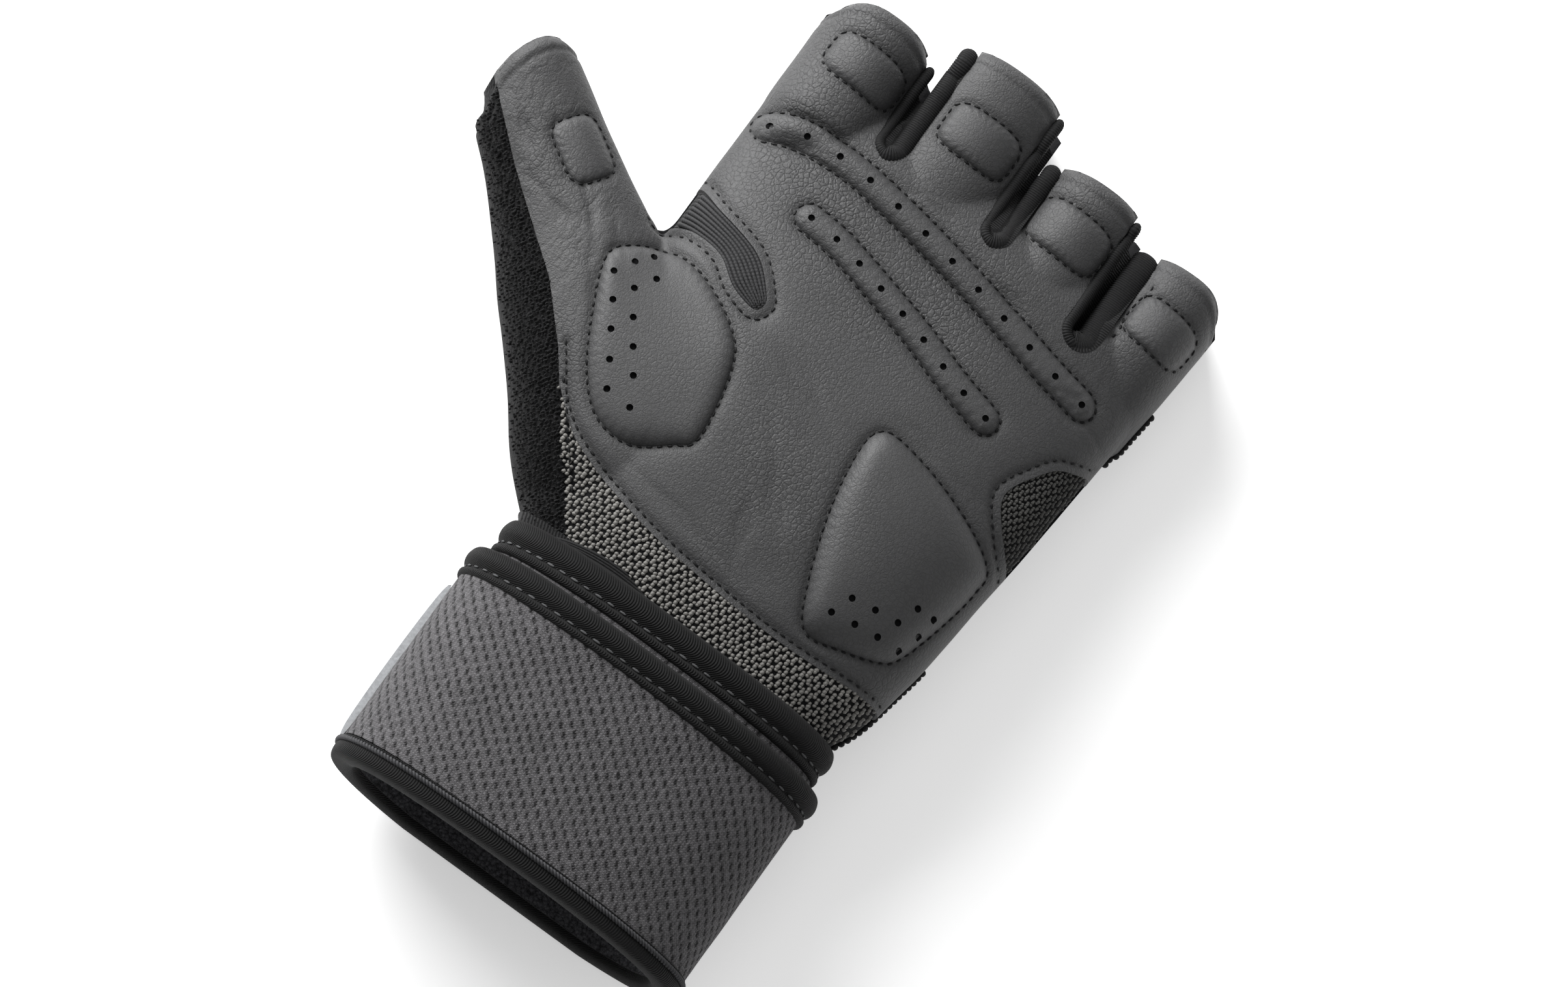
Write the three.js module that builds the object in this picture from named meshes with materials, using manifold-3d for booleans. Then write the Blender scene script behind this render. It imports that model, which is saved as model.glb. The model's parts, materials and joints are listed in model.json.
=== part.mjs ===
// A half-finger weightlifting glove for the left hand, with a two-turn wrist wrap, lying palm up on its flat back.
// Millimetres. The thumb points to -X, the fingers to +Y and the palm to +Z, and the lower rim of the cuff is at y = 0
// until the whole glove is centred at the end of the file.
import * as THREE from "three";
import { mergeVertices } from "three/addons/utils/BufferGeometryUtils.js";
import Module from "manifold-3d";

// Walls and clearances
const HAND_WALL = 1.8;
const CLEARANCE = 0.3;
const WRAP_INNER_THICKNESS = 2;
const WRAP_OUTER_THICKNESS = 2.4;
const TAB_THICKNESS = 1.3;
const BINDING_BULGE = 1.2;
const OVERRUN = 8;

// Main sizes of the hand
const PALM_HALF_WIDTH = 51;
const PALM_LENGTH = 111;
const PALM_HEIGHT = 42.3;
const STALL_HALF_WIDTH = 14.7;
const STALL_LENGTH = 30;
const SLOT_HALF_WIDTH = 1.7;
const GUSSET_BAND = 2;
const GUSSET_LOW = 9;
const SEAM_HEIGHT_WRIST = 19;
const SEAM_HEIGHT_TIP = 13.5;
const BACK_FLATTENING = 2.5;

// Main sizes of the cuff
const CUFF_LENGTH = 63;
const WRIST_HALF_WIDTH = 38.6;
const WRIST_HEIGHT = 33.4;
const CUFF_TILT = 3.5;
const BINDING_WIDTH = 8.1;
const OUTER_BINDING_WIDTH = 7.1;
const RIM_BINDING_WIDTH = 5.3;
const RIM_LINING_WIDTH = 2.3;
const WRAP_STEP = 9.4;
const TAB_MARGIN = 4.5;
const TAB_FROM = 0.43;
const TAB_TO = 0.82;

// Sizes of the pads
const PAD_THICKNESS = 2.6;
const PAD_SEAT_GAP = 0.6;
const STEEPEST_SEAT = 0.25;
const PAD_EDGE = 1.1;
const MOUND_PAD_THICKNESS = 4.2;
const HOLE_DIAMETER = 1.5;
const KNUCKLE_PAD_HALF_WIDTH = 3.5;
const MOUND_SHARES = { base: [0, 0.35, 0.7, 1], top: [1, 0.85, 0.5, 0] };
const STRIP_SHARES = { base: [0, 1], top: [1, 0.75, 0] };

// Fineness of the faces
const HAND_SIDES = 30;
const STALL_SIDES = 24;
const THUMB_SIDES = 20;
const CUFF_SIDES = 32;
const HOLE_SIDES = 5;
const SLOT_ARC_STEPS = 6;
const PRISM_LOW = -20;
const PRISM_HIGH = 80;

const rows = (columns, values) =>
  values.map((row) => Object.fromEntries(columns.map((name, i) => [name, row[i]])));

// Sections of the palm. along is a share of PALM_LENGTH from the top of the cuff, left and right are shares of
// PALM_HALF_WIDTH, top is a share of PALM_HEIGHT, low is a share of the wrist's height above the rest plane.
const PALM_SECTIONS = rows(
  ["along", "left", "right", "top", "low", "power"],
  [
    [0.03, -0.835, 0.82, 0.955, 0.9, 2.3],
    [0.08, -0.875, 0.855, 0.98, 0.7, 2.4],
    [0.225, -0.94, 0.906, 1, 0.2, 2.6],
    [0.36, -0.98, 0.933, 0.998, 0, 2.7],
    [0.514, -1, 0.97, 0.957, 0, 2.8],
    [0.694, -1, 1, 0.875, 0, 2.8],
    [0.847, -1, 1.024, 0.79, 0, 2.8],
    [0.964, -1, 1.04, 0.745, 0, 2.6],
    [1.036, -0.98, 1.03, 0.65, 0.3, 2.4],
    [1.11, -0.88, 0.93, 0.45, 1.2, 2.2],
  ],
);

// Finger stalls. centre and lean are shares of PALM_HALF_WIDTH, half of STALL_HALF_WIDTH, length of STALL_LENGTH,
// root and tip, the heights at both ends, of PALM_HEIGHT.
const STALLS = rows(
  ["name", "centre", "lean", "half", "length", "root", "tip"],
  [
    ["index", -0.757, 0, 0.857, 0.787, 0.733, 0.7],
    ["middle", -0.202, 0, 1, 0.993, 0.733, 0.7],
    ["ring", 0.357, 0.006, 0.884, 0.687, 0.733, 0.7],
    ["little", 0.838, 0.025, 0.796, 0.56, 0.71, 0.645],
  ],
);
const STALL_START = 0.8;
const STALL_ROOT = 0.97;
const STALL_SUNK_SHARE = 0.85;
const STALL_SUNK = 3;
const STALL_POWER = 2.2;

// Slots between the stalls. centre is a share of PALM_HALF_WIDTH, foot of PALM_LENGTH, half of SLOT_HALF_WIDTH.
const SLOTS = rows(
  ["name", "centre", "foot", "half"],
  [
    ["gusset_index_middle", -0.465, 0.991, 1],
    ["gusset_middle_ring", 0.094, 0.97, 1],
    ["gusset_ring_little", 0.618, 0.903, 1.5],
  ],
);

// Sections of the thumb, from inside the palm to its open end. Each runs from a point on the outer edge to one on the
// finger side: across is a share of PALM_HALF_WIDTH, along of PALM_LENGTH, top and low of PALM_HEIGHT.
const THUMB_SECTIONS = rows(
  ["outerAcross", "outerAlong", "innerAcross", "innerAlong", "top", "low"],
  [
    [-0.78, 0.01, 0, 0.26, 0.9, 0.06],
    [-0.99, 0.1, -0.16, 0.37, 0.957, 0.02],
    [-1.186, 0.22, -0.43, 0.487, 0.934, 0.01],
    [-1.382, 0.32, -0.824, 0.577, 0.863, 0.024],
    [-1.569, 0.426, -1.157, 0.649, 0.768, 0.06],
    [-1.765, 0.523, -1.382, 0.71, 0.721, 0.09],
    [-1.908, 0.577, -1.578, 0.766, 0.686, 0.106],
    [-1.959, 0.64, -1.739, 0.811, 0.662, 0.118],
  ],
);
const THUMB_POWER = 2.2;

// Outlines on the hand seen from above: across is a share of PALM_HALF_WIDTH, along of PALM_LENGTH.
const POINT = ["across", "along"];
const LEATHER_LOWER_EDGE = rows(POINT, [
  [1.2, 0.115],
  [0.847, 0.105],
  [0.392, 0.083],
  [0, 0.089],
  [-0.392, 0.112],
  [-0.784, 0.168],
  [-0.98, 0.238],
]);
const TERRY_EDGE = rows(POINT, [
  [-0.608, -0.1],
  [-0.608, 0.022],
  [-0.706, 0.079],
  [-0.882, 0.175],
  [-1.078, 0.298],
  [-1.275, 0.399],
  [-1.471, 0.473],
  [-1.667, 0.547],
  [-1.863, 0.63],
  [-2.1, 0.742],
]);
const TERRY_BACK_EDGE = rows(POINT, [
  [-1.1, 0.66],
  [-0.95, 0.55],
  [-0.84, 0.36],
  [-0.7, 0.15],
  [-0.55, -0.1],
]);
const THUMB_ELASTIC = rows(POINT, [
  [-1.06, 0.735],
  [-0.882, 0.705],
  [-0.647, 0.668],
  [-0.52, 0.613],
  [-0.5, 0.59],
  [-0.529, 0.572],
  [-0.647, 0.587],
  [-0.765, 0.626],
  [-0.902, 0.639],
  [-1.06, 0.64],
]);
const VENT = rows(POINT, [
  [1.15, 0.71],
  [0.912, 0.692],
  [0.804, 0.635],
  [0.751, 0.571],
  [0.824, 0.518],
  [0.947, 0.47],
  [1.15, 0.41],
]);
const PAD_THENAR = rows(POINT, [
  [-1.14, 0.495],
  [-1.078, 0.547],
  [-0.922, 0.584],
  [-0.745, 0.569],
  [-0.529, 0.508],
  [-0.441, 0.437],
  [-0.394, 0.306],
  [-0.461, 0.265],
  [-0.618, 0.218],
  [-0.784, 0.227],
  [-0.922, 0.286],
  [-1.039, 0.378],
]);
const PAD_HYPOTHENAR = rows(POINT, [
  [0.163, 0.455],
  [0.176, 0.515],
  [0.275, 0.532],
  [0.588, 0.501],
  [0.86, 0.448],
  [0.89, 0.4],
  [0.86, 0.306],
  [0.804, 0.21],
  [0.745, 0.173],
  [0.588, 0.142],
  [0.412, 0.127],
  [0.304, 0.208],
  [0.206, 0.341],
]);
const UPPER_KNUCKLE_LINE = rows(POINT, [
  [-0.918, 0.899],
  [-0.784, 0.917],
  [-0.549, 0.921],
  [-0.275, 0.904],
  [0, 0.881],
  [0.294, 0.852],
  [0.588, 0.822],
  [0.79, 0.808],
]);
const LOWER_KNUCKLE_LINE = rows(POINT, [
  [-0.555, 0.787],
  [-0.392, 0.778],
  [-0.157, 0.751],
  [0.078, 0.722],
  [0.314, 0.686],
  [0.502, 0.665],
]);

// Perforations. Those of the knuckle pads follow the pads' middle lines; the others stand in rows of two or more.
const UPPER_KNUCKLE_HOLES = 12;
const LOWER_KNUCKLE_HOLES = 9;
const THENAR_HOLE_ROWS = rows(
  ["across", "along", "count", "stepAcross", "stepAlong"],
  [
    [-0.98, 0.551, 1, 0, 0],
    [-1.031, 0.518, 2, 0.113, -0.004],
    [-1.078, 0.477, 2, 0.109, -0.005],
    [-1.012, 0.428, 2, 0.11, -0.006],
    [-0.947, 0.378, 2, 0.116, -0.004],
    [-0.878, 0.328, 2, 0.117, 0],
    [-0.816, 0.279, 2, 0.12, -0.005],
  ],
);
const HYPOTHENAR_HOLE_ROWS = rows(
  ["across", "along", "count", "stepAcross", "stepAlong"],
  [
    [0.733, 0.29, 2, 0.08, 0.008],
    [0.49, 0.225, 4, 0.105, 0.01],
    [0.455, 0.181, 4, 0.106, 0.0095],
  ],
);

// Stall pads, round-cornered. centre is a share of PALM_HALF_WIDTH, along of PALM_LENGTH, halves of the stall's half
// width, turn in degrees.
const STALL_PADS = rows(
  ["name", "centre", "along", "halfAcross", "halfAlong", "turn"],
  [
    ["pad_index", -0.735, 1.093, 0.72, 0.42, -2],
    ["pad_middle", -0.183, 1.11, 0.6, 0.385, 0],
    ["pad_ring", 0.343, 1.064, 0.7, 0.45, -3],
    ["pad_little", 0.882, 1.02, 0.68, 0.47, -5],
  ],
);
// The thumb's pad, with its halves as shares of STALL_HALF_WIDTH
const [THUMB_PAD] = rows(
  ["across", "along", "halfAcross", "halfAlong", "turn"],
  [[-1.475, 0.648, 0.503, 0.381, -33]],
);
const PAD_CORNER_POWER = 4;
const STALL_PAD_POINTS = 14;
const MOUND_PAD_POINTS = 24;
const UPPER_KNUCKLE_STATIONS = 18;
const LOWER_KNUCKLE_STATIONS = 11;

const across = (share) => share * PALM_HALF_WIDTH;
const along = (share) => CUFF_LENGTH + share * PALM_LENGTH;
const onHand = (points) => points.map((p) => new THREE.Vector2(across(p.across), along(p.along)));

// Heights of the layers outside the wrist, from the hand's surface outwards.
const INNER_WRAP_OUT = CLEARANCE + WRAP_INNER_THICKNESS;
const OUTER_WRAP_IN = INNER_WRAP_OUT + CLEARANCE;
const OUTER_WRAP_OUT = OUTER_WRAP_IN + WRAP_OUTER_THICKNESS;
const TAB_IN = OUTER_WRAP_OUT + CLEARANCE;
const WRIST_LOW = TAB_IN + TAB_THICKNESS;
const WRIST_SECTION = {
  left: -WRIST_HALF_WIDTH,
  right: WRIST_HALF_WIDTH,
  top: WRIST_LOW + WRIST_HEIGHT,
  low: WRIST_LOW,
  power: 2.3,
};

const wasm = await Module();
wasm.setup();

// The triangles whose three corners are still apart once equal vertices are merged.
function withoutCollapsed(index) {
  const kept = [];
  for (let i = 0; i < index.length; i += 3) {
    const [a, b, c] = index.subarray(i, i + 3);
    if (a !== b && b !== c && c !== a) kept.push(a, b, c);
  }
  return kept;
}

function solidOf(geometry) {
  const bare = new THREE.BufferGeometry();
  bare.setAttribute("position", geometry.getAttribute("position"));
  if (geometry.index) bare.setIndex(geometry.index);
  const merged = mergeVertices(bare);
  const vertProperties = new Float32Array(merged.attributes.position.array);
  const triVerts = new Uint32Array(withoutCollapsed(merged.index.array));
  const solid = new wasm.Manifold(new wasm.Mesh({ numProp: 3, vertProperties, triVerts }));
  if (solid.volume() > 0) return solid;
  for (let i = 0; i < triVerts.length; i += 3) {
    [triVerts[i + 1], triVerts[i + 2]] = [triVerts[i + 2], triVerts[i + 1]];
  }
  return new wasm.Manifold(new wasm.Mesh({ numProp: 3, vertProperties, triVerts }));
}

function geometryOf(solid) {
  const mesh = solid.getMesh();
  const positions = new Float32Array(mesh.numVert * 3);
  for (let i = 0; i < mesh.numVert; i++) {
    positions.set(mesh.vertProperties.subarray(i * mesh.numProp, i * mesh.numProp + 3), i * 3);
  }
  const geometry = new THREE.BufferGeometry();
  geometry.setAttribute("position", new THREE.BufferAttribute(positions, 3));
  geometry.setIndex(new THREE.BufferAttribute(mesh.triVerts, 1));
  geometry.computeVertexNormals();
  return geometry;
}

const joined = (solids) => solids.reduce((all, one) => all.add(one));

// The largest body of a cut solid: the cuts leave small loose crumbs at corners where three panels meet.
function largestBody(solid) {
  return solid.decompose().reduce((a, b) => (b.volume() > a.volume() ? b : a));
}

// A closed surface through rings of equal count. A loft has both ends capped; a hoop joins its last ring to its first.
function surfaceThrough(rings, isHoop) {
  const sides = rings[0].length;
  const points = rings.flat();
  const index = [];
  const bands = isHoop ? rings.length : rings.length - 1;
  for (let band = 0; band < bands; band++) {
    const next = (band + 1) % rings.length;
    for (let side = 0; side < sides; side++) {
      const a = band * sides + side;
      const b = band * sides + ((side + 1) % sides);
      const c = next * sides + side;
      const d = next * sides + ((side + 1) % sides);
      index.push(a, b, d, a, d, c);
    }
  }
  if (!isHoop) {
    [0, rings.length - 1].forEach((end) => {
      const middle = rings[end].reduce((sum, p) => sum.add(p), new THREE.Vector3()).divideScalar(sides);
      const hub = points.push(middle) - 1;
      for (let side = 0; side < sides; side++) {
        const a = end * sides + side;
        const b = end * sides + ((side + 1) % sides);
        index.push(...(end ? [a, b, hub] : [b, a, hub]));
      }
    });
  }
  const geometry = new THREE.BufferGeometry().setFromPoints(points);
  geometry.setIndex(index);
  return geometry;
}

// One rounded section, its lower half flattened where it would rest. It is shrunk inwards by inset, and place turns a
// point (across, up) of it into space.
function sectionRing(section, inset, sides, place) {
  const middle = (section.left + section.right) / 2;
  const halfWidth = (section.right - section.left) / 2 - inset;
  const low = section.low + inset;
  const middleHeight = (section.top + section.low) / 2;
  const up = section.top - inset - middleHeight;
  const down = middleHeight - low + BACK_FLATTENING;
  const rounded = (value) => Math.sign(value) * Math.abs(value) ** (2 / section.power);
  return Array.from({ length: sides }, (_, i) => {
    const angle = (2 * Math.PI * i) / sides;
    const rise = rounded(Math.sin(angle));
    const height = middleHeight + rise * (rise > 0 ? up : down);
    return place(middle + halfWidth * rounded(Math.cos(angle)), Math.max(low, height));
  });
}

const acrossAt = (y) => (x, z) => new THREE.Vector3(x, y, z);

function palmSections() {
  return PALM_SECTIONS.map((row) => ({
    y: along(row.along),
    left: across(row.left),
    right: across(row.right),
    top: row.top * PALM_HEIGHT,
    low: row.low * WRIST_LOW,
    power: row.power,
  }));
}

function palmLoft(inset, overrun) {
  const cuffEnds = [-overrun, CUFF_LENGTH - BINDING_WIDTH].map((y) => ({ y, ...WRIST_SECTION }));
  const sections = [...cuffEnds, { y: CUFF_LENGTH - 1, ...WRIST_SECTION }, ...palmSections()];
  const rings = sections.map((s) => sectionRing(s, inset, HAND_SIDES, acrossAt(s.y)));
  return solidOf(surfaceThrough(rings, false));
}

const stallHalf = (stall) => stall.half * STALL_HALF_WIDTH;
const stallTip = (stall) => along(1) + stall.length * STALL_LENGTH;

function stallLoft(stall, inset, overrun) {
  const root = { x: across(stall.centre), half: stallHalf(stall), top: stall.root * PALM_HEIGHT, low: 0 };
  const tipX = across(stall.centre + stall.lean);
  const tip = { x: tipX, half: stallHalf(stall), top: stall.tip * PALM_HEIGHT, low: 0 };
  const sunk = { ...root, half: root.half * STALL_SUNK_SHARE, top: root.top * STALL_SUNK_SHARE, low: STALL_SUNK };
  const sections = [
    { ...sunk, y: along(STALL_START) },
    { ...root, y: along(STALL_ROOT) },
    { ...tip, y: stallTip(stall) },
  ];
  if (overrun > 0) sections.push({ ...tip, y: stallTip(stall) + overrun });
  const rings = sections.map(({ x, y, half, top, low }) => {
    const section = { left: x - half, right: x + half, top, low, power: STALL_POWER };
    return sectionRing(section, inset, STALL_SIDES, acrossAt(y));
  });
  return solidOf(surfaceThrough(rings, false));
}

function thumbLoft(inset, overrun) {
  const rings = THUMB_SECTIONS.map((row, i) => {
    const outer = new THREE.Vector2(across(row.outerAcross), along(row.outerAlong));
    const inner = new THREE.Vector2(across(row.innerAcross), along(row.innerAlong));
    const middle = outer.clone().add(inner).divideScalar(2);
    const side = inner.clone().sub(outer).normalize();
    if (i === THUMB_SECTIONS.length - 1) middle.add(new THREE.Vector2(-side.y, side.x).multiplyScalar(overrun));
    const half = outer.distanceTo(inner) / 2;
    const section = {
      left: -half,
      right: half,
      top: row.top * PALM_HEIGHT,
      low: row.low * PALM_HEIGHT,
      power: THUMB_POWER,
    };
    const place = (x, z) => new THREE.Vector3(middle.x + side.x * x, middle.y + side.y * x, z);
    return sectionRing(section, inset, THUMB_SIDES, place);
  });
  return solidOf(surfaceThrough(rings, false));
}

// The outline grown outwards by a distance, for a region that must stay clear of its neighbour.
function grown(outline, distance) {
  const turn = THREE.ShapeUtils.isClockWise(outline) ? -1 : 1;
  const normal = (a, b) => new THREE.Vector2(b.y - a.y, a.x - b.x).normalize().multiplyScalar(turn);
  return outline.map((point, i) => {
    const before = normal(outline.at(i - 1), point);
    const after = normal(point, outline[(i + 1) % outline.length]);
    const bisector = before.clone().add(after).normalize();
    return point.clone().addScaledVector(bisector, distance / Math.max(0.5, bisector.dot(after)));
  });
}

// An upright prism over an outline, between two heights.
function prism(outline, low = PRISM_LOW, high = PRISM_HIGH) {
  const geometry = new THREE.ExtrudeGeometry(new THREE.Shape(outline), { depth: high - low, bevelEnabled: false });
  return solidOf(geometry.translate(0, 0, low));
}

// All that lies above, or below, the side seam between palm and back, which slants down towards the fingertips.
function sideOfSeam(isAbove, offset) {
  const reach = PALM_LENGTH + STALL_LENGTH + CUFF_LENGTH;
  const slant = (SEAM_HEIGHT_TIP - SEAM_HEIGHT_WRIST) / (PALM_LENGTH + STALL_LENGTH);
  const heightAt = (y) => SEAM_HEIGHT_WRIST + slant * (y - CUFF_LENGTH) + offset;
  const far = isAbove ? PRISM_HIGH : PRISM_LOW;
  const profile = [
    new THREE.Vector2(-OVERRUN, heightAt(-OVERRUN)),
    new THREE.Vector2(reach + OVERRUN, heightAt(reach + OVERRUN)),
    new THREE.Vector2(reach + OVERRUN, far),
    new THREE.Vector2(-OVERRUN, far),
  ];
  const width = 3 * PALM_HALF_WIDTH;
  const geometry = new THREE.ExtrudeGeometry(new THREE.Shape(profile), { depth: 2 * width, bevelEnabled: false });
  geometry.applyMatrix4(new THREE.Matrix4().makeBasis(
    new THREE.Vector3(0, 1, 0),
    new THREE.Vector3(0, 0, 1),
    new THREE.Vector3(1, 0, 0),
  ));
  return solidOf(geometry.translate(-width, 0, 0));
}

function slotOutline(slot, extra) {
  const x = across(slot.centre);
  const radius = slot.half * SLOT_HALF_WIDTH;
  const y = along(slot.foot) + radius;
  const half = radius + extra;
  const top = along(1) + STALL_LENGTH + OVERRUN;
  const arc = Array.from({ length: SLOT_ARC_STEPS + 1 }, (_, i) => {
    const angle = Math.PI * (1 + i / SLOT_ARC_STEPS);
    return new THREE.Vector2(x + half * Math.cos(angle), y + half * Math.sin(angle));
  });
  return [...arc, new THREE.Vector2(x + half, top), new THREE.Vector2(x - half, top)];
}

// The hand's outer form with no inset, and the hollow inside it with the wall as inset.
function handForm(inset, overrun) {
  const slots = joined(SLOTS.map((slot) => prism(slotOutline(slot, inset))));
  const stalls = joined(STALLS.map((stall) => stallLoft(stall, inset, overrun)));
  return palmLoft(inset, overrun).subtract(slots).add(stalls).add(thumbLoft(inset, overrun));
}

// All of the hand beyond the slanted line where the black sleeve of the cuff takes over.
function beyondCuff(offset) {
  const width = 3 * PALM_HALF_WIDTH;
  const tilt = (CUFF_TILT * width) / PALM_HALF_WIDTH;
  const y = CUFF_LENGTH - 0.5 + offset;
  return prism([
    new THREE.Vector2(-width, y + tilt),
    new THREE.Vector2(width, y - tilt),
    new THREE.Vector2(width, y + 3 * width),
    new THREE.Vector2(-width, y + 3 * width),
  ]);
}

const terryRegion = (extra) => {
  const far = [
    new THREE.Vector2(across(-2.3), along(0.742)),
    new THREE.Vector2(across(-2.3), along(-0.1)),
  ];
  const backFar = [
    new THREE.Vector2(across(-2.3), along(-0.1)),
    new THREE.Vector2(across(-2.3), along(0.95)),
    new THREE.Vector2(across(-1.25), along(0.95)),
  ];
  const palmSide = prism(grown([...onHand(TERRY_EDGE), ...far], extra));
  const backSide = prism(grown([...onHand(TERRY_BACK_EDGE), ...backFar], extra)).intersect(
    sideOfSeam(false, extra - CLEARANCE / 2),
  );
  return palmSide.add(backSide);
};

function handPanels() {
  const beyond = beyondCuff(CLEARANCE / 2);
  const shell = handForm(0, 0).subtract(handForm(HAND_WALL, OVERRUN));
  const hand = shell.intersect(beyond);
  const palmSide = hand.intersect(sideOfSeam(true, CLEARANCE / 2));
  const backSide = hand.intersect(sideOfSeam(false, -CLEARANCE / 2));
  const wristOutline = [
    ...onHand(LEATHER_LOWER_EDGE),
    ...onHand([{ across: -0.98, along: -0.1 }, { across: 1.2, along: -0.1 }]),
  ];
  const gussetBand = (slot, extra) => prism(slotOutline(slot, GUSSET_BAND + extra), GUSSET_LOW - extra);
  const gussets = joined(SLOTS.map((slot) => gussetBand(slot, CLEARANCE)));
  const terryCut = terryRegion(CLEARANCE);
  const insets = [THUMB_ELASTIC, VENT].map((outline) => prism(grown(onHand(outline), CLEARANCE)));
  const leather = palmSide
    .subtract(terryCut)
    .subtract(prism(grown(wristOutline, CLEARANCE)))
    .subtract(joined(insets))
    .subtract(gussets);
  const panels = {
    palm_leather: leather,
    back_mesh: backSide.subtract(terryCut).subtract(gussets),
    thumb_terry: hand.intersect(terryRegion(0)),
    wrist_mesh: palmSide.intersect(prism(wristOutline)).subtract(terryCut),
    thumb_elastic: palmSide.intersect(prism(onHand(THUMB_ELASTIC))).subtract(terryCut),
    vent_mesh: palmSide.intersect(prism(onHand(VENT))),
    inner_cuff: shell.subtract(beyondCuff(-CLEARANCE / 2)).subtract(belowRim()),
  };
  SLOTS.forEach((slot) => {
    panels[slot.name] = hand.intersect(gussetBand(slot, 0));
  });
  return panels;
}

// The stretch at the lower rim that the rim's knit tape takes up.
function belowRim() {
  const width = 3 * PALM_HALF_WIDTH;
  const y = RIM_LINING_WIDTH + CLEARANCE;
  return prism([
    new THREE.Vector2(-width, -2 * OVERRUN),
    new THREE.Vector2(width, -2 * OVERRUN),
    new THREE.Vector2(width, y),
    new THREE.Vector2(-width, y),
  ]);
}

// A hoop round the wrist through a profile of points [out, y], out being the height above the hand's surface.
function cuffHoop(profile) {
  const rings = profile.map(([out, y]) => sectionRing(WRIST_SECTION, -out, CUFF_SIDES, acrossAt(y)));
  return solidOf(surfaceThrough(rings, true));
}

// Folded knit tape along an edge: a full roll, a row of stitches in a groove and a flat welt.
function tapeProfile(inside, thickness, low, width) {
  const out = inside + thickness;
  const groove = low + width * 0.27;
  return [
    [inside, low],
    [out, low],
    [out + BINDING_BULGE * 0.5, low + width * 0.12],
    [out, groove],
    [out + BINDING_BULGE, groove + width * 0.18],
    [out + BINDING_BULGE, low + width * 0.8],
    [inside + thickness / 2, low + width],
    [inside, low + width * 0.9],
  ];
}

function wrapPieces() {
  const innerTop = CUFF_LENGTH;
  const outerTop = CUFF_LENGTH - WRAP_STEP;
  const innerLow = RIM_LINING_WIDTH + CLEARANCE;
  const outerLow = RIM_BINDING_WIDTH + CLEARANCE;
  const sleeve = (inside, outside, low, high) => [
    [inside, low],
    [outside, low],
    [outside, high],
    [inside, high],
  ];
  const innerHigh = innerTop - BINDING_WIDTH - CLEARANCE;
  const outerHigh = outerTop - OUTER_BINDING_WIDTH - CLEARANCE;
  const rim = [
    [-HAND_WALL, RIM_LINING_WIDTH * 0.5],
    [-HAND_WALL * 0.3, 0],
    [OUTER_WRAP_OUT - BINDING_BULGE * 0.5, 0],
    [OUTER_WRAP_OUT + BINDING_BULGE * 0.5, RIM_LINING_WIDTH * 0.5],
    [OUTER_WRAP_OUT + BINDING_BULGE * 0.7, RIM_BINDING_WIDTH * 0.65],
    [OUTER_WRAP_OUT + BINDING_BULGE * 0.2, RIM_BINDING_WIDTH],
    [OUTER_WRAP_IN, RIM_BINDING_WIDTH],
    [OUTER_WRAP_IN, RIM_LINING_WIDTH],
    [-HAND_WALL, RIM_LINING_WIDTH],
  ];
  return {
    wrap_inner: cuffHoop(sleeve(CLEARANCE, INNER_WRAP_OUT, innerLow, innerHigh)),
    wrap_inner_binding: cuffHoop(
      tapeProfile(CLEARANCE, WRAP_INNER_THICKNESS, innerTop - BINDING_WIDTH, BINDING_WIDTH),
    ),
    wrap_outer: cuffHoop(sleeve(OUTER_WRAP_IN, OUTER_WRAP_OUT, outerLow, outerHigh)),
    wrap_outer_binding: cuffHoop(
      tapeProfile(OUTER_WRAP_IN, WRAP_OUTER_THICKNESS, outerTop - OUTER_BINDING_WIDTH, OUTER_BINDING_WIDTH),
    ),
    cuff_binding: cuffHoop(rim),
    closure_tab: closureTab(outerLow, outerHigh),
  };
}

// The flat end of the wrap, closed on its back with hook and loop and turned up round the thumb side.
function closureTab(outerLow, outerHigh) {
  const low = outerLow + TAB_MARGIN;
  const high = outerHigh - TAB_MARGIN;
  const outside = TAB_IN + TAB_THICKNESS;
  const ring = (out, y) => sectionRing(WRIST_SECTION, -out, CUFF_SIDES, acrossAt(y));
  const profile = [ring(TAB_IN, low), ring(outside, low), ring(outside, high), ring(TAB_IN, high)];
  const first = Math.round(TAB_FROM * CUFF_SIDES);
  const last = Math.round(TAB_TO * CUFF_SIDES);
  const sections = [];
  for (let i = first; i <= last; i++) sections.push(profile.map((points) => points[i]));
  return solidOf(surfaceThrough(sections, false));
}

// A smooth closed outline through hand-chosen points, turned anticlockwise.
function smoothOutline(points, count) {
  const flat = onHand(points).map((p) => new THREE.Vector3(p.x, p.y, 0));
  const curve = new THREE.CatmullRomCurve3(flat, true, "centripetal");
  const outline = curve.getSpacedPoints(count).slice(0, count).map((p) => new THREE.Vector2(p.x, p.y));
  return THREE.ShapeUtils.isClockWise(outline) ? outline.reverse() : outline;
}

function smoothLine(points, count) {
  return new THREE.SplineCurve(onHand(points)).getSpacedPoints(count - 1);
}

function padOutline(pad, halfAcross, halfAlong) {
  const turn = THREE.MathUtils.degToRad(pad.turn);
  const rounded = (value) => Math.sign(value) * Math.abs(value) ** (2 / PAD_CORNER_POWER);
  return Array.from({ length: STALL_PAD_POINTS }, (_, i) => {
    const angle = (2 * Math.PI * (i + 0.5)) / STALL_PAD_POINTS;
    const local = new THREE.Vector2(halfAcross * rounded(Math.cos(angle)), halfAlong * rounded(Math.sin(angle)));
    return local.rotateAround(new THREE.Vector2(), turn).add(new THREE.Vector2(pad.x, pad.y));
  });
}

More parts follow.
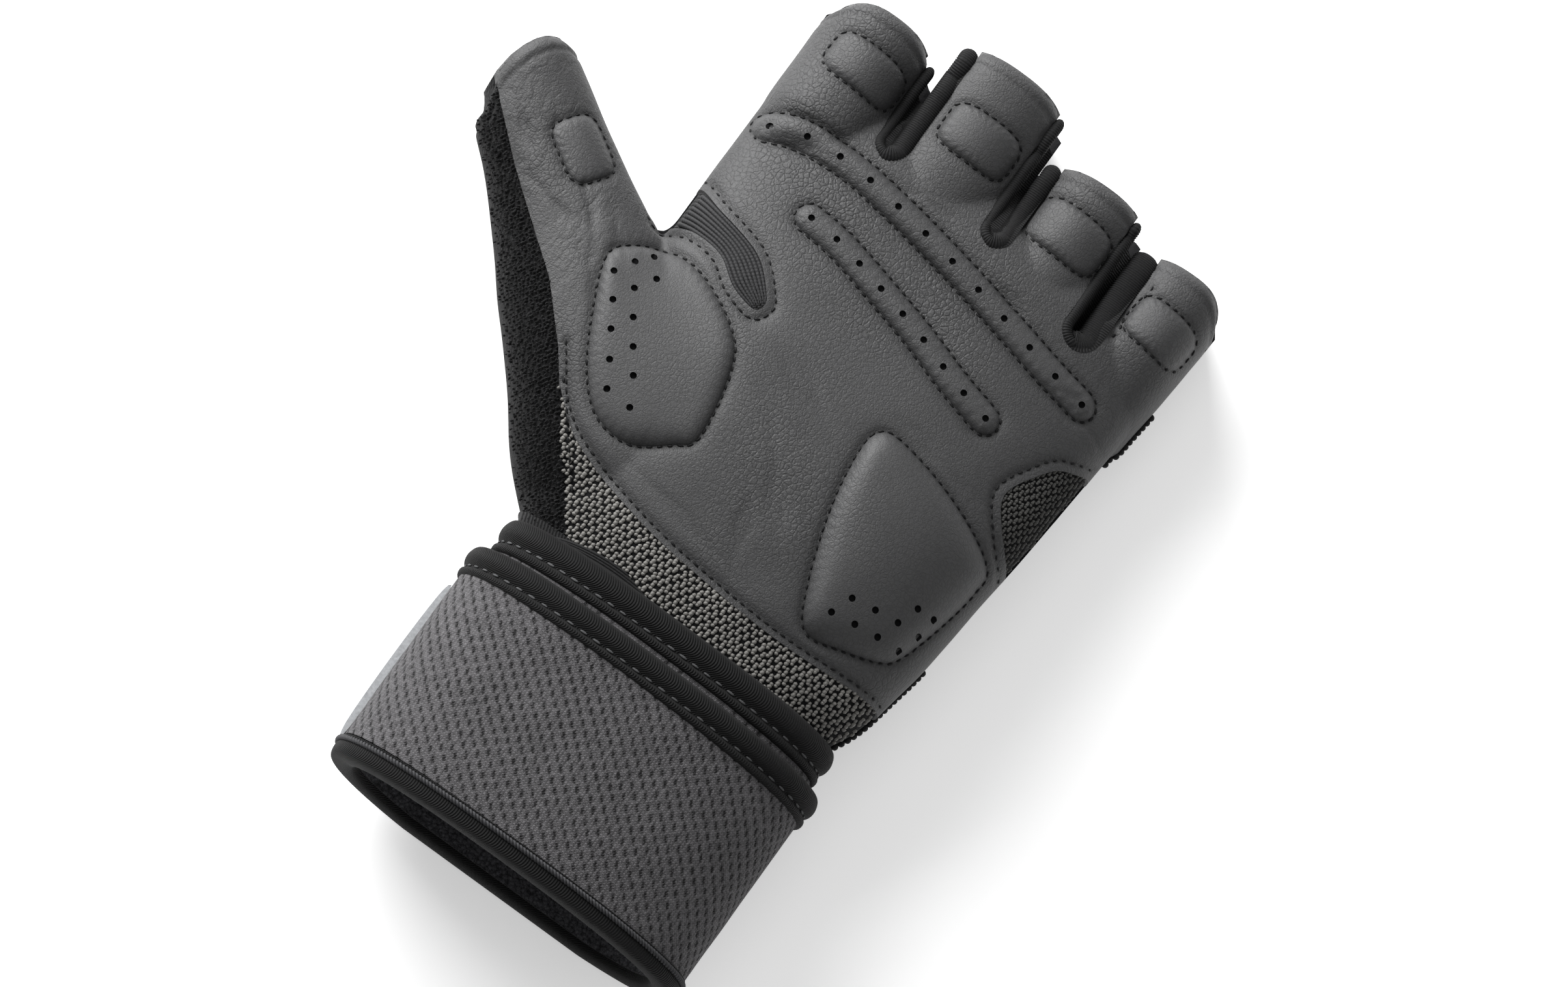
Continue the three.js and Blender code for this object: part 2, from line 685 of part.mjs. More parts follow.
// The outline of a long pad with round ends, at a fixed distance from its middle line. Each point shrinks to its hub.
function stripOutline(line, half) {
  const last = line.length - 1;
  const stations = line.map((hub, i) => {
    const tangent = line[Math.min(i + 1, last)].clone().sub(line[Math.max(i - 1, 0)]).normalize();
    return { hub, tangent, normal: new THREE.Vector2(-tangent.y, tangent.x) };
  });
  const offset = ({ hub, normal, tangent }, aside, ahead) => ({
    hub,
    rim: hub.clone().addScaledVector(normal, aside * half).addScaledVector(tangent, ahead * half),
  });
  const end = (station, sense) =>
    [[-Math.SQRT1_2, Math.SQRT1_2], [0, 1], [Math.SQRT1_2, Math.SQRT1_2]].map(([aside, ahead]) =>
      offset(station, sense * aside, sense * ahead),
    );
  return [
    ...stations.map((station) => offset(station, -1, 0)),
    ...end(stations[last], 1),
    ...stations.map((station) => offset(station, 1, 0)).reverse(),
    ...end(stations[0], -1),
  ];
}

function outlineRoundMiddle(outline) {
  const hub = new THREE.Box2().setFromPoints(outline).getCenter(new THREE.Vector2());
  return outline.map((rim) => ({ hub, rim }));
}

// A crowned pad laid on the hand: its rings shrink from rim to hub, and their heights follow the surface below.
function drapedPad(outline, thickness, heightAt, shares = MOUND_SHARES) {
  const crown = (share) => PAD_EDGE + (thickness - PAD_EDGE) * Math.sqrt(1 - share * share);
  const ring = (share, lift) =>
    outline.map(({ hub, rim }) => {
      const p = hub.clone().lerp(rim, share);
      return new THREE.Vector3(p.x, p.y, heightAt(p.x, p.y, PAD_SEAT_GAP) + lift);
    });
  const rings = [
    ...shares.base.map((share) => ring(share, 0)),
    ...shares.top.map((share) => ring(share, crown(share))),
  ];
  const surface = surfaceThrough(rings, true);
  const closingBand = 6 * outline.length;
  surface.setIndex([...surface.index.array].slice(0, -closingBand));
  return solidOf(surface);
}

function holesThrough(points) {
  const drills = points.map((p) => {
    const drill = new THREE.CylinderGeometry(
      HOLE_DIAMETER / 2,
      HOLE_DIAMETER / 2,
      PRISM_HIGH - PRISM_LOW,
      HOLE_SIDES,
    );
    return solidOf(drill.rotateX(Math.PI / 2).translate(p.x, p.y, (PRISM_HIGH + PRISM_LOW) / 2));
  });
  return joined(drills);
}

function holeRows(table) {
  return table.flatMap((row) =>
    Array.from({ length: row.count }, (_, i) => ({
      x: across(row.across + i * row.stepAcross),
      y: along(row.along + i * row.stepAlong),
    })),
  );
}

// The height above a point of the hand's outer surface, raised so that a gap is left square to the surface.
function surfaceHeight() {
  const form = new THREE.Mesh(geometryOf(handForm(0, 0)), new THREE.MeshBasicMaterial({ side: THREE.DoubleSide }));
  const ray = new THREE.Raycaster();
  const down = new THREE.Vector3(0, 0, -1);
  return (x, y, gap) => {
    ray.set(new THREE.Vector3(x, y, PRISM_HIGH), down);
    const hits = ray.intersectObject(form);
    if (!hits.length) throw new Error("a pad reaches past the edge of the hand at " + [x, y]);
    return hits[0].point.z + gap / Math.max(STEEPEST_SEAT, Math.abs(hits[0].face.normal.z));
  };
}

function padPieces() {
  const heightAt = surfaceHeight();
  const pads = {};
  STALL_PADS.forEach((pad, i) => {
    const half = stallHalf(STALLS[i]);
    const place = { x: across(pad.centre), y: along(pad.along), turn: pad.turn };
    const outline = padOutline(place, pad.halfAcross * half, pad.halfAlong * half);
    pads[pad.name] = drapedPad(outlineRoundMiddle(outline), PAD_THICKNESS, heightAt);
  });
  const thumbPlace = { x: across(THUMB_PAD.across), y: along(THUMB_PAD.along), turn: THUMB_PAD.turn };
  const thumbHalves = [THUMB_PAD.halfAcross, THUMB_PAD.halfAlong].map((share) => share * STALL_HALF_WIDTH);
  const thumbOutline = padOutline(thumbPlace, ...thumbHalves);
  pads.pad_thumb = drapedPad(outlineRoundMiddle(thumbOutline), PAD_THICKNESS, heightAt);
  [
    ["pad_thenar", PAD_THENAR, THENAR_HOLE_ROWS, PAD_THICKNESS],
    ["pad_hypothenar", PAD_HYPOTHENAR, HYPOTHENAR_HOLE_ROWS, MOUND_PAD_THICKNESS],
  ].forEach(([name, points, holes, thickness]) => {
    const outline = smoothOutline(points, MOUND_PAD_POINTS);
    const pad = drapedPad(outlineRoundMiddle(outline), thickness, heightAt);
    pads[name] = pad.subtract(holesThrough(holeRows(holes)));
  });
  [
    ["pad_knuckle_upper", UPPER_KNUCKLE_LINE, UPPER_KNUCKLE_HOLES, UPPER_KNUCKLE_STATIONS],
    ["pad_knuckle_lower", LOWER_KNUCKLE_LINE, LOWER_KNUCKLE_HOLES, LOWER_KNUCKLE_STATIONS],
  ].forEach(([name, points, holes, stations]) => {
    const line = smoothLine(points, stations);
    const outline = stripOutline(line, KNUCKLE_PAD_HALF_WIDTH);
    const pad = drapedPad(outline, PAD_THICKNESS, heightAt, STRIP_SHARES);
    pads[name] = pad.subtract(holesThrough(smoothLine(points, holes)));
  });
  return pads;
}

const LEATHER = { color: 0x55565a, roughness: 0.62 };
const PAD_LEATHER = { color: 0x5b5c60, roughness: 0.55 };
const BLACK_KNIT = { color: 0x1c1c1e, roughness: 0.9 };
const TERRY = { color: 0x141415, roughness: 1 };
const GREY_MESH = { color: 0x6c6d6e, roughness: 0.9 };
const WRAP_KNIT = { color: 0x55545a, roughness: 0.92 };
const TAB_FINISH = { color: 0xb4b5b8, roughness: 0.6 };
const FINISHES = {
  palm_leather: LEATHER,
  thumb_terry: TERRY,
  wrist_mesh: GREY_MESH,
  vent_mesh: GREY_MESH,
  wrap_inner: WRAP_KNIT,
  wrap_outer: WRAP_KNIT,
  closure_tab: TAB_FINISH,
};

function finishOf(name) {
  if (name.startsWith("pad_")) return PAD_LEATHER;
  return FINISHES[name] ?? BLACK_KNIT;
}

const glove = new THREE.Group();
Object.entries({ ...handPanels(), ...wrapPieces(), ...padPieces() }).forEach(([name, solid]) => {
  const finish = finishOf(name);
  const material = new THREE.MeshStandardMaterial({ metalness: 0, ...finish });
  const mesh = new THREE.Mesh(geometryOf(largestBody(solid)), material);
  mesh.name = name;
  glove.add(mesh);
});

// The glove's own frame: centred across and along, with the rest plane at z = 0.
const box = new THREE.Box3().setFromObject(glove);
const centre = box.getCenter(new THREE.Vector3());
glove.position.set(-centre.x, -centre.y, -box.min.z);

export default glove;
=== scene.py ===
"""The looks of a half-finger weightlifting glove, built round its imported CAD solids."""
import json
import math

import bmesh
import bpy
import numpy as np
from mathutils import Matrix, Vector
from mathutils.bvhtree import BVHTree
from mathutils.kdtree import KDTree

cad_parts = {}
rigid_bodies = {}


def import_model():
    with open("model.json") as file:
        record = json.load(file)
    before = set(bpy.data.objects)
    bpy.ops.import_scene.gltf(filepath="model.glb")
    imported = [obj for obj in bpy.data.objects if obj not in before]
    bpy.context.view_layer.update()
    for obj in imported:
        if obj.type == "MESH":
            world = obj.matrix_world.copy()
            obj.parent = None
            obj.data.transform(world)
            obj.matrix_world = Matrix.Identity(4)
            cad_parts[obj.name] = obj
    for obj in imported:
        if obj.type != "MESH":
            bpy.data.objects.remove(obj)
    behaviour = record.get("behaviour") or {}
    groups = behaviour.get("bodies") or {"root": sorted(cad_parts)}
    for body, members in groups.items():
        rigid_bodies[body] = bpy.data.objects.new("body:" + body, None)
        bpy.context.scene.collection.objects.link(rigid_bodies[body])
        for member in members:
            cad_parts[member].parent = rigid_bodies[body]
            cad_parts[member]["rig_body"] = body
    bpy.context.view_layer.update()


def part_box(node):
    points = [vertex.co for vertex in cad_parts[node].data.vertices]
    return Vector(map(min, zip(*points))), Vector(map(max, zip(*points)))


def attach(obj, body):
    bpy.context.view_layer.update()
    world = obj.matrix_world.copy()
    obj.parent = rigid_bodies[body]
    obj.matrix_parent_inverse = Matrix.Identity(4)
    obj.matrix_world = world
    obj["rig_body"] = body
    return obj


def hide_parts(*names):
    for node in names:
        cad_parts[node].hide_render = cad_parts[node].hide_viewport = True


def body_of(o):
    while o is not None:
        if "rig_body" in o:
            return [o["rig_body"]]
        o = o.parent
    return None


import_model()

bl_info = {
    "name": "Half-finger weightlifting glove",
    "version": (1, 0, 0),
    "blender": (4, 5, 0),
    "location": "View3D > Sidebar > Glove",
    "description": "Builds a left-hand weightlifting glove round its CAD solids",
    "category": "Object",
}

# The glove is worked out in millimetres from the lower rim of its cuff: the thumb points to -X, the fingers
# to +Y and the palm to +Z. ORIGIN is that frame's origin in the CAD frame.
MM = 0.001
ORIGIN = np.array([
    (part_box("wrap_inner")[0].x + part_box("wrap_inner")[1].x) / 2,
    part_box("cuff_binding")[0].y,
    0,
])

# Main sizes, as in the CAD
PALM_HALF_WIDTH = 51
PALM_LENGTH = 111
PALM_HEIGHT = 42.3
STALL_HALF_WIDTH = 14.7
STALL_LENGTH = 30
SLOT_HALF_WIDTH = 1.7
GUSSET_BAND = 2
GUSSET_LOW = 9
SEAM_HEIGHT_WRIST = 19
SEAM_HEIGHT_TIP = 13.5
BACK_FLATTENING = 2.5
CUFF_LENGTH = 63
WRIST_HALF_WIDTH = 38.6
WRIST_LOW = 6.6
WRIST_HEIGHT = 33.4
WRIST_POWER = 2.3
CUFF_TILT = 3.5
OVERRUN = 10

# Layers round the wrist: how far each lies outside the hand's surface, and where it lies along the cuff
INNER_WRAP = (0.3, 2.3)
OUTER_WRAP = (2.6, 5.0)
TAB = (5.0, 6.6)
INNER_BINDING_SPAN = (54.9, 63)
OUTER_BINDING_SPAN = (46.5, 53.6)
RIM_BINDING_WIDTH = 5.3
TAB_SPAN = (6.5, 43)
TAB_ARC = (0.496, 0.8)

# Sections of the palm. along is a share of PALM_LENGTH from the top of the cuff, left and right are shares of
# PALM_HALF_WIDTH, top of PALM_HEIGHT, low of WRIST_LOW.
SECTION_COLUMNS = ("along", "left", "right", "top", "low", "power")
PALM_SECTIONS = (
    (0.03, -0.835, 0.82, 0.955, 0.9, 2.3),
    (0.08, -0.875, 0.855, 0.98, 0.7, 2.4),
    (0.225, -0.94, 0.906, 1, 0.2, 2.6),
    (0.36, -0.98, 0.933, 0.998, 0, 2.7),
    (0.514, -1, 0.97, 0.957, 0, 2.8),
    (0.694, -1, 1, 0.875, 0, 2.8),
    (0.847, -1, 1.024, 0.79, 0, 2.8),
    (0.964, -1, 1.04, 0.745, 0, 2.6),
    (1.036, -0.98, 1.03, 0.65, 0.3, 2.4),
    (1.11, -0.88, 0.93, 0.45, 1.2, 2.2),
)

# Finger stalls. centre and lean are shares of PALM_HALF_WIDTH, half of STALL_HALF_WIDTH, length of
# STALL_LENGTH, root and tip of PALM_HEIGHT. The open end falls back at its corners by left_drop and
# right_drop, of STALL_LENGTH.
STALL_COLUMNS = ("name", "centre", "lean", "half", "length", "root", "tip", "left_drop", "right_drop")
STALLS = (
    ("index", -0.757, 0, 0.857, 0.787, 0.733, 0.7, 0.17, 0.09),
    ("middle", -0.202, 0, 1, 0.993, 0.733, 0.7, 0.06, 0.08),
    ("ring", 0.357, 0.006, 0.884, 0.687, 0.733, 0.7, 0.06, 0.06),
    ("little", 0.838, 0.025, 0.796, 0.56, 0.71, 0.645, 0.04, 0.22),
)
STALL_START = 0.8
STALL_ROOT = 0.97
STALL_SUNK_SHARE = 0.85
STALL_SUNK = 3
STALL_POWER = 2.2

# Slots between the stalls. centre is a share of PALM_HALF_WIDTH, foot of PALM_LENGTH, half of
# SLOT_HALF_WIDTH.
SLOT_COLUMNS = ("name", "centre", "foot", "half")
SLOTS = (
    ("gusset_index_middle", -0.465, 0.991, 1),
    ("gusset_middle_ring", 0.094, 0.97, 1),
    ("gusset_ring_little", 0.618, 0.903, 1.5),
)

# Sections of the thumb, each from a point on its outer edge to one on its finger side.
THUMB_COLUMNS = ("outer_across", "outer_along", "inner_across", "inner_along", "top", "low")
THUMB_SECTIONS = (
    (-0.78, 0.01, 0, 0.26, 0.9, 0.06),
    (-0.99, 0.1, -0.16, 0.37, 0.957, 0.02),
    (-1.186, 0.22, -0.43, 0.487, 0.934, 0.01),
    (-1.382, 0.32, -0.824, 0.577, 0.863, 0.024),
    (-1.569, 0.426, -1.157, 0.649, 0.768, 0.06),
    (-1.765, 0.523, -1.382, 0.71, 0.721, 0.09),
    (-1.908, 0.577, -1.578, 0.766, 0.686, 0.106),
    (-1.959, 0.64, -1.739, 0.811, 0.662, 0.118),
)
THUMB_POWER = 2.2

# The thumb's open end: places across it, in halves of its width, and how far it reaches past its last section
THUMB_END = (
    (-3, -6), (-1.15, -2.5), (-1, -0.5), (-0.63, 2.3), (-0.3, 3.9), (0, 4.7), (0.3, 5),
    (0.5, 4.9), (0.81, 3.8),
    (1, 1.5), (1.15, -1), (3, -3),
)

# Outlines on the hand seen from above: (across, along), shares of PALM_HALF_WIDTH and PALM_LENGTH.
LEATHER_LOWER_EDGE = (
    (1.2, 0.115), (0.847, 0.105), (0.392, 0.083), (0, 0.089), (-0.392, 0.112), (-0.784, 0.168),
    (-0.98, 0.238),
)
TERRY_EDGE = (
    (-0.608, -0.1), (-0.608, 0.022), (-0.706, 0.079), (-0.882, 0.175), (-1.078, 0.298), (-1.275, 0.399),
    (-1.471, 0.473), (-1.667, 0.547), (-1.863, 0.63), (-2.1, 0.742),
)
TERRY_BACK_EDGE = ((-1.1, 0.66), (-0.95, 0.55), (-0.84, 0.36), (-0.7, 0.15), (-0.55, -0.1))
THUMB_ELASTIC = (
    (-1.06, 0.735), (-0.882, 0.705), (-0.647, 0.668), (-0.52, 0.613), (-0.5, 0.59), (-0.529, 0.572),
    (-0.647, 0.587), (-0.765, 0.626), (-0.902, 0.639), (-1.06, 0.64),
)
VENT = (
    (1.15, 0.71), (0.912, 0.692), (0.804, 0.635), (0.751, 0.571), (0.824, 0.518), (0.947, 0.47), (1.15, 0.41),
)
PAD_THENAR = (
    (-1.14, 0.495), (-1.078, 0.547), (-0.922, 0.584), (-0.745, 0.569), (-0.529, 0.508), (-0.441, 0.437),
    (-0.394, 0.306), (-0.461, 0.265), (-0.618, 0.218), (-0.784, 0.227), (-0.922, 0.286), (-1.039, 0.378),
)
PAD_HYPOTHENAR = (
    (0.163, 0.455), (0.176, 0.515), (0.275, 0.532), (0.588, 0.501), (0.86, 0.448), (0.89, 0.4), (0.86, 0.306),
    (0.804, 0.21), (0.745, 0.173), (0.588, 0.142), (0.412, 0.127), (0.304, 0.208), (0.206, 0.341),
)
UPPER_KNUCKLE_LINE = (
    (-0.918, 0.899), (-0.784, 0.917), (-0.549, 0.921), (-0.275, 0.904), (0, 0.881), (0.294, 0.852),
    (0.588, 0.822), (0.79, 0.808),
)
LOWER_KNUCKLE_LINE = (
    (-0.555, 0.787), (-0.392, 0.778), (-0.157, 0.751), (0.078, 0.722), (0.314, 0.686), (0.502, 0.665),
)

# Rows of perforations: first hole across and along, how many, and the step to the next.
THENAR_HOLE_ROWS = (
    (-0.98, 0.551, 1, 0, 0),
    (-1.031, 0.518, 2, 0.113, -0.004),
    (-1.078, 0.477, 2, 0.109, -0.005),
    (-1.012, 0.428, 2, 0.11, -0.006),
    (-0.947, 0.378, 2, 0.116, -0.004),
    (-0.878, 0.328, 2, 0.117, 0),
    (-0.816, 0.279, 2, 0.12, -0.005),
)
HYPOTHENAR_HOLE_ROWS = (
    (0.733, 0.29, 2, 0.08, 0.008),
    (0.49, 0.225, 4, 0.105, 0.01),
    (0.455, 0.181, 4, 0.106, 0.0095),
)
UPPER_KNUCKLE_HOLES = 12
LOWER_KNUCKLE_HOLES = 9

# How far each pad stands up, and how wide its rounded shoulder is, in mm.
KNUCKLE_PAD_HALF_WIDTH = 3.5
PAD_RISE = {
    "pad_index": 0.75, "pad_middle": 0.75, "pad_ring": 0.75, "pad_little": 0.75, "pad_thumb": 0.7,
    "pad_thenar": 1.5, "pad_hypothenar": 3.2, "pad_knuckle_upper": 1.1, "pad_knuckle_lower": 1.1,
}
PAD_SHOULDER = {"pad_hypothenar": 2.6, "pad_thenar": 2.0}
SHOULDER = 1.2

# Creases of the leather: from, to (mm), depth and half-width.
CREASES = (
    (-97, 128, -84, 121, 0.8, 0.9),
    (-94, 136, -80, 125, 0.7, 1.1),
    (-88, 141, -74, 128, 0.4, 1.0),
    (-86, 121, -74, 113, 0.8, 1.3),
    (-84, 124, -66, 119, 0.7, 1.2),
    (-80, 137.5, -64, 122, 0.5, 1.3),
    (-73, 133, -57, 113, 0.6, 1.6),
    (-66, 121, -53, 107, 0.4, 1.6),
    (-62, 127, -49, 113, 0.5, 1.8),
    (-46, 126, -30, 116, 0.4, 1.8),
    (-24, 126, 12, 110, 0.45, 2.6),
    (-14, 114, 8, 86, 0.4, 2.4),
    (-6, 98, 2, 76, 0.35, 2.0),
    (-38, 86, 6, 77, 0.35, 1.6),
    (8, 126, 34, 121, 0.4, 2.0),
    (-49, 168, -28, 165, 0.6, 1.2),
    (-49, 160, -30, 165, 0.4, 1.2),
    (-22, 168, 0, 169, 0.55, 1.2),
    (6, 164, 24, 160, 0.55, 1.2),
    (33, 154, 52, 147, 0.5, 1.2),
    (30, 150, 46, 156, 0.35, 1.1),
)

# Pads on the stalls and the thumb. halves are shares of STALL_HALF_WIDTH, turn in degrees, power squares
# the corners.
STALL_PAD_COLUMNS = ("name", "centre", "along", "half_across", "half_along", "turn", "power")
STALL_PADS = (
    ("pad_index", -0.735, 1.093, 0.617, 0.36, -2, 4),
    ("pad_middle", -0.183, 1.11, 0.6, 0.385, 0, 4),
    ("pad_ring", 0.343, 1.064, 0.619, 0.398, -3, 4),
    ("pad_little", 0.882, 1.02, 0.541, 0.374, -5, 4),
    ("pad_thumb", -1.475, 0.648, 0.503, 0.381, -33, 4),
)


def rows(columns, table):
    """A table's rows as dicts with named values."""
    return [dict(zip(columns, row)) for row in table]


def across(share):
    return share * PALM_HALF_WIDTH


def along(share):
    return CUFF_LENGTH + share * PALM_LENGTH


def on_hand(points):
    """Shares of the palm as points in millimetres."""
    return np.array([(across(x), along(y)) for x, y in points])


def smoothstep(value, start, end):
    t = np.clip((value - start) / (end - start), 0, 1)
    return t * t * (3 - 2 * t)


# Curves on the hand


def smooth_line(points, step, closed=False):
    """A smooth line through points, with a point at every step."""
    points = np.asarray(points, float)
    count = len(points)
    stations = []
    for i in range(count if closed else count - 1):
        if closed:
            a, b, c, d = (points[(i + k - 1) % count] for k in range(4))
        else:
            b, c = points[i], points[i + 1]
            a = points[i - 1] if i else 2 * b - c
            d = points[i + 2] if i + 2 < count else 2 * c - b
        t = np.linspace(0, 1, 24, endpoint=False)[:, None]
        bend = (2 * b, c - a, 2 * a - 5 * b + 4 * c - d, 3 * b - a - 3 * c + d)
        stations.append(0.5 * (bend[0] + bend[1] * t + bend[2] * t**2 + bend[3] * t**3))
    line = np.vstack(stations + [points[:1] if closed else points[-1:]])
    return evenly(line, step, closed)


def run_along(line):
    """How far along a line each of its points lies."""
    return np.concatenate([[0], np.cumsum(np.linalg.norm(np.diff(line, axis=0), axis=1))])


def evenly(line, step, closed=False):
    """The same line with evenly spaced points, about a step apart."""
    run = run_along(line)
    count = max(2, round(run[-1] / step))
    at = np.linspace(0, run[-1], count + 1)
    if closed:
        at = at[:-1]
    return np.column_stack([np.interp(at, run, line[:, k]) for k in range(line.shape[1])])


def anticlockwise(outline):
    x, y = outline[:, 0], outline[:, 1]
    area = np.sum(x * np.roll(y, -1) - np.roll(x, -1) * y)
    return outline if area > 0 else outline[::-1]


def grown(outline, distance):
    """An outline moved outwards by a distance."""
    outline = anticlockwise(np.asarray(outline, float))
    edge = np.roll(outline, -1, axis=0) - outline
    normal = np.column_stack([edge[:, 1], -edge[:, 0]])
    normal /= np.linalg.norm(normal, axis=1)[:, None]
    bisector = normal + np.roll(normal, 1, axis=0)
    bisector /= np.linalg.norm(bisector, axis=1)[:, None]
    reach = np.maximum(0.5, np.sum(bisector * normal, axis=1))
    return outline + bisector * (distance / reach)[:, None]


def line_normals(line, closed=False):
    """The unit tangents of a line and the normals on its left."""
    if closed:
        tangent = np.roll(line, -1, axis=0) - np.roll(line, 1, axis=0)
    else:
        tangent = np.gradient(line, axis=0)
    tangent /= np.linalg.norm(tangent, axis=1)[:, None]
    return tangent, np.column_stack([-tangent[:, 1], tangent[:, 0]])


def slot_outline(slot, extra):
    x = across(slot["centre"])
    radius = slot["half"] * SLOT_HALF_WIDTH
    y = along(slot["foot"]) + radius
    half = radius + extra
    top = along(1) + STALL_LENGTH + OVERRUN
    angle = math.pi * (1 + np.linspace(0, 1, 13))
    arc = np.column_stack([x + half * np.cos(angle), y + half * np.sin(angle)])
    return np.vstack([arc, [[x + half, top], [x - half, top]]])


def pad_outline(pad):
    """A round-cornered rectangle, turned."""
    angle = 2 * math.pi * (np.arange(720) + 0.5) / 720
    local = np.column_stack([
        pad["half_across"] * STALL_HALF_WIDTH * rounded(np.cos(angle), pad["power"]),
        pad["half_along"] * STALL_HALF_WIDTH * rounded(np.sin(angle), pad["power"]),
    ])
    turn = math.radians(pad["turn"])
    c, s = math.cos(turn), math.sin(turn)
    middle = (across(pad["centre"]), along(pad["along"]))
    return local @ np.array([[c, s], [-s, c]]) + middle


def strip_outline(line, half):
    """The outline of a long pad with round ends."""
    tangent, normal = line_normals(line)
    cap = np.linspace(-math.pi / 2, math.pi / 2, 9)[1:-1, None]
    far = line[-1] + half * (np.cos(cap) * tangent[-1] + np.sin(cap) * normal[-1])
    near = line[0] - half * (np.cos(cap) * tangent[0] + np.sin(cap) * normal[0])
    return np.vstack([line - half * normal, far, (line + half * normal)[::-1], near])


def hole_points(table):
    return np.array([
        (across(x + i * step_x), along(y + i * step_y))
        for x, y, count, step_x, step_y in table
        for i in range(count)
    ])


# Meshes


def rounded(value, power):
    return np.sign(value) * np.abs(value) ** (2 / power)


def section(left, right, top, low, power, angles):
    """A rounded section, flattened where it rests: its points' places across and their heights."""
    middle_height = (top + low) / 2
    rise = rounded(np.sin(angles), power)
    reach = np.where(rise > 0, top - middle_height, middle_height - low + BACK_FLATTENING)
    x = (left + right) / 2 + (right - left) / 2 * rounded(np.cos(angles), power)
    return x, np.maximum(low, middle_height + rise * reach)


def mesh_piece(name, points, faces, in_glove=True):
    """An object of points in millimetres and faces of equal corner count."""
    faces = np.ascontiguousarray(faces, dtype=np.int32)
    corners = faces.shape[1]
    place = (np.asarray(points, float) * MM + ORIGIN) if in_glove else np.asarray(points, float)
    mesh = bpy.data.meshes.new(name)
    mesh.vertices.add(len(place))
    mesh.vertices.foreach_set("co", place.astype(np.float32).ravel())
    mesh.loops.add(faces.size)
    mesh.loops.foreach_set("vertex_index", faces.ravel())
    mesh.polygons.add(len(faces))
    mesh.polygons.foreach_set("loop_start", np.arange(0, faces.size, corners, dtype=np.int32))
    mesh.update(calc_edges=True)
    mesh.validate()
    piece = bpy.data.objects.new(name, mesh)
    bpy.context.scene.collection.objects.link(piece)
    return piece


def places(mesh):
    """A mesh's vertices in the glove's millimetres."""
    co = np.empty(len(mesh.vertices) * 3, np.float32)
    mesh.vertices.foreach_get("co", co)
    return (co.reshape(-1, 3).astype(float) - ORIGIN) / MM


def normals(mesh):
    out = np.empty(len(mesh.vertices) * 3, np.float32)
    mesh.vertex_normals.foreach_get("vector", out)
    return out.reshape(-1, 3).astype(float)


def move_to(mesh, points):
    mesh.vertices.foreach_set("co", (points * MM + ORIGIN).astype(np.float32).ravel())
    mesh.update()


def keep(mesh, name, values):
    """Keeps one value for each vertex, for the mesh's material to read."""
    kind = "FLOAT" if values.ndim == 1 else "FLOAT_VECTOR"
    field = "value" if values.ndim == 1 else "vector"
    attribute = mesh.attributes.new(name, kind, "POINT")
    attribute.data.foreach_set(field, values.astype(np.float32).ravel())


def ring_faces(count_rings, sides, hoop=False):
    """Quads between rings of equal count; a hoop joins its last ring to its first."""
    ring = np.arange(count_rings if hoop else count_rings - 1)[:, None]
    side = np.arange(sides)[None, :]
    after, beside = (ring + 1) % count_rings, (side + 1) % sides
    quads = (ring * sides + side, ring * sides + beside, after * sides + beside, after * sides + side)
    return np.stack([np.broadcast_to(q, (len(ring), sides)) for q in quads], axis=-1).reshape(-1, 4)


def outward(points, triangles):
    """Triangles turned so that they face out of a closed form."""
    a, b, c = (points[triangles[:, k]] for k in range(3))
    volume = np.sum(np.cross(a, b) * c)
    return triangles if volume > 0 else triangles[:, ::-1]


def loft(name, rings):
    """A closed form through rings, capped at both ends."""
    count, sides = rings.shape[:2]
    points = np.vstack([rings.reshape(-1, 3), rings[0].mean(0)[None], rings[-1].mean(0)[None]])
    quads = ring_faces(count, sides)
    side = np.arange(sides)
    beside = (side + 1) % sides
    last = (count - 1) * sides
    caps = [
        np.column_stack([beside, side, np.full(sides, count * sides)]),
        np.column_stack([last + side, last + beside, np.full(sides, count * sides + 1)]),
    ]
    triangles = np.vstack([quads[:, [0, 1, 2]], quads[:, [0, 2, 3]], *caps])
    return mesh_piece(name, points, outward(points, triangles))


def prism(name, outline, low=-20, high=80, face=2):
    """An upright form over an outline, between two heights. face is the material of its sides."""
    outline = anticlockwise(np.asarray(outline, float))
    count = len(outline)
    mesh = bpy.data.meshes.new(name)
    points = np.vstack([
        np.column_stack([outline, np.full(count, low)]),
        np.column_stack([outline, np.full(count, high)]),
    ])
    side = list(range(count))
    faces = [side[::-1], [count + i for i in side]]
    faces += [(i, (i + 1) % count, count + (i + 1) % count, count + i) for i in side]
    mesh.from_pydata(points * MM + ORIGIN, [], faces)
    mesh.polygons.foreach_set("material_index", np.full(len(faces), face, np.int32))
    piece = bpy.data.objects.new(name, mesh)
    bpy.context.scene.collection.objects.link(piece)
    return piece


def settle(piece):
    """Turns a piece's modifiers into its own mesh."""
    bpy.context.view_layer.update()
    graph = bpy.context.evaluated_depsgraph_get()
    mesh = bpy.data.meshes.new_from_object(piece.evaluated_get(graph))
    piece.modifiers.clear()
    piece.data = mesh
    return piece


def carved(name, start, *steps):
    """A copy of start with other forms cut away, kept or added: ("DIFFERENCE", form) and so on."""
    piece = bpy.data.objects.new(name, start.data.copy())
    bpy.context.scene.collection.objects.link(piece)
    for operation, form in steps:
        modifier = piece.modifiers.new(operation.title(), "BOOLEAN")
        modifier.operation = operation
        modifier.solver = "MANIFOLD"
        modifier.object = form
    return settle(piece)


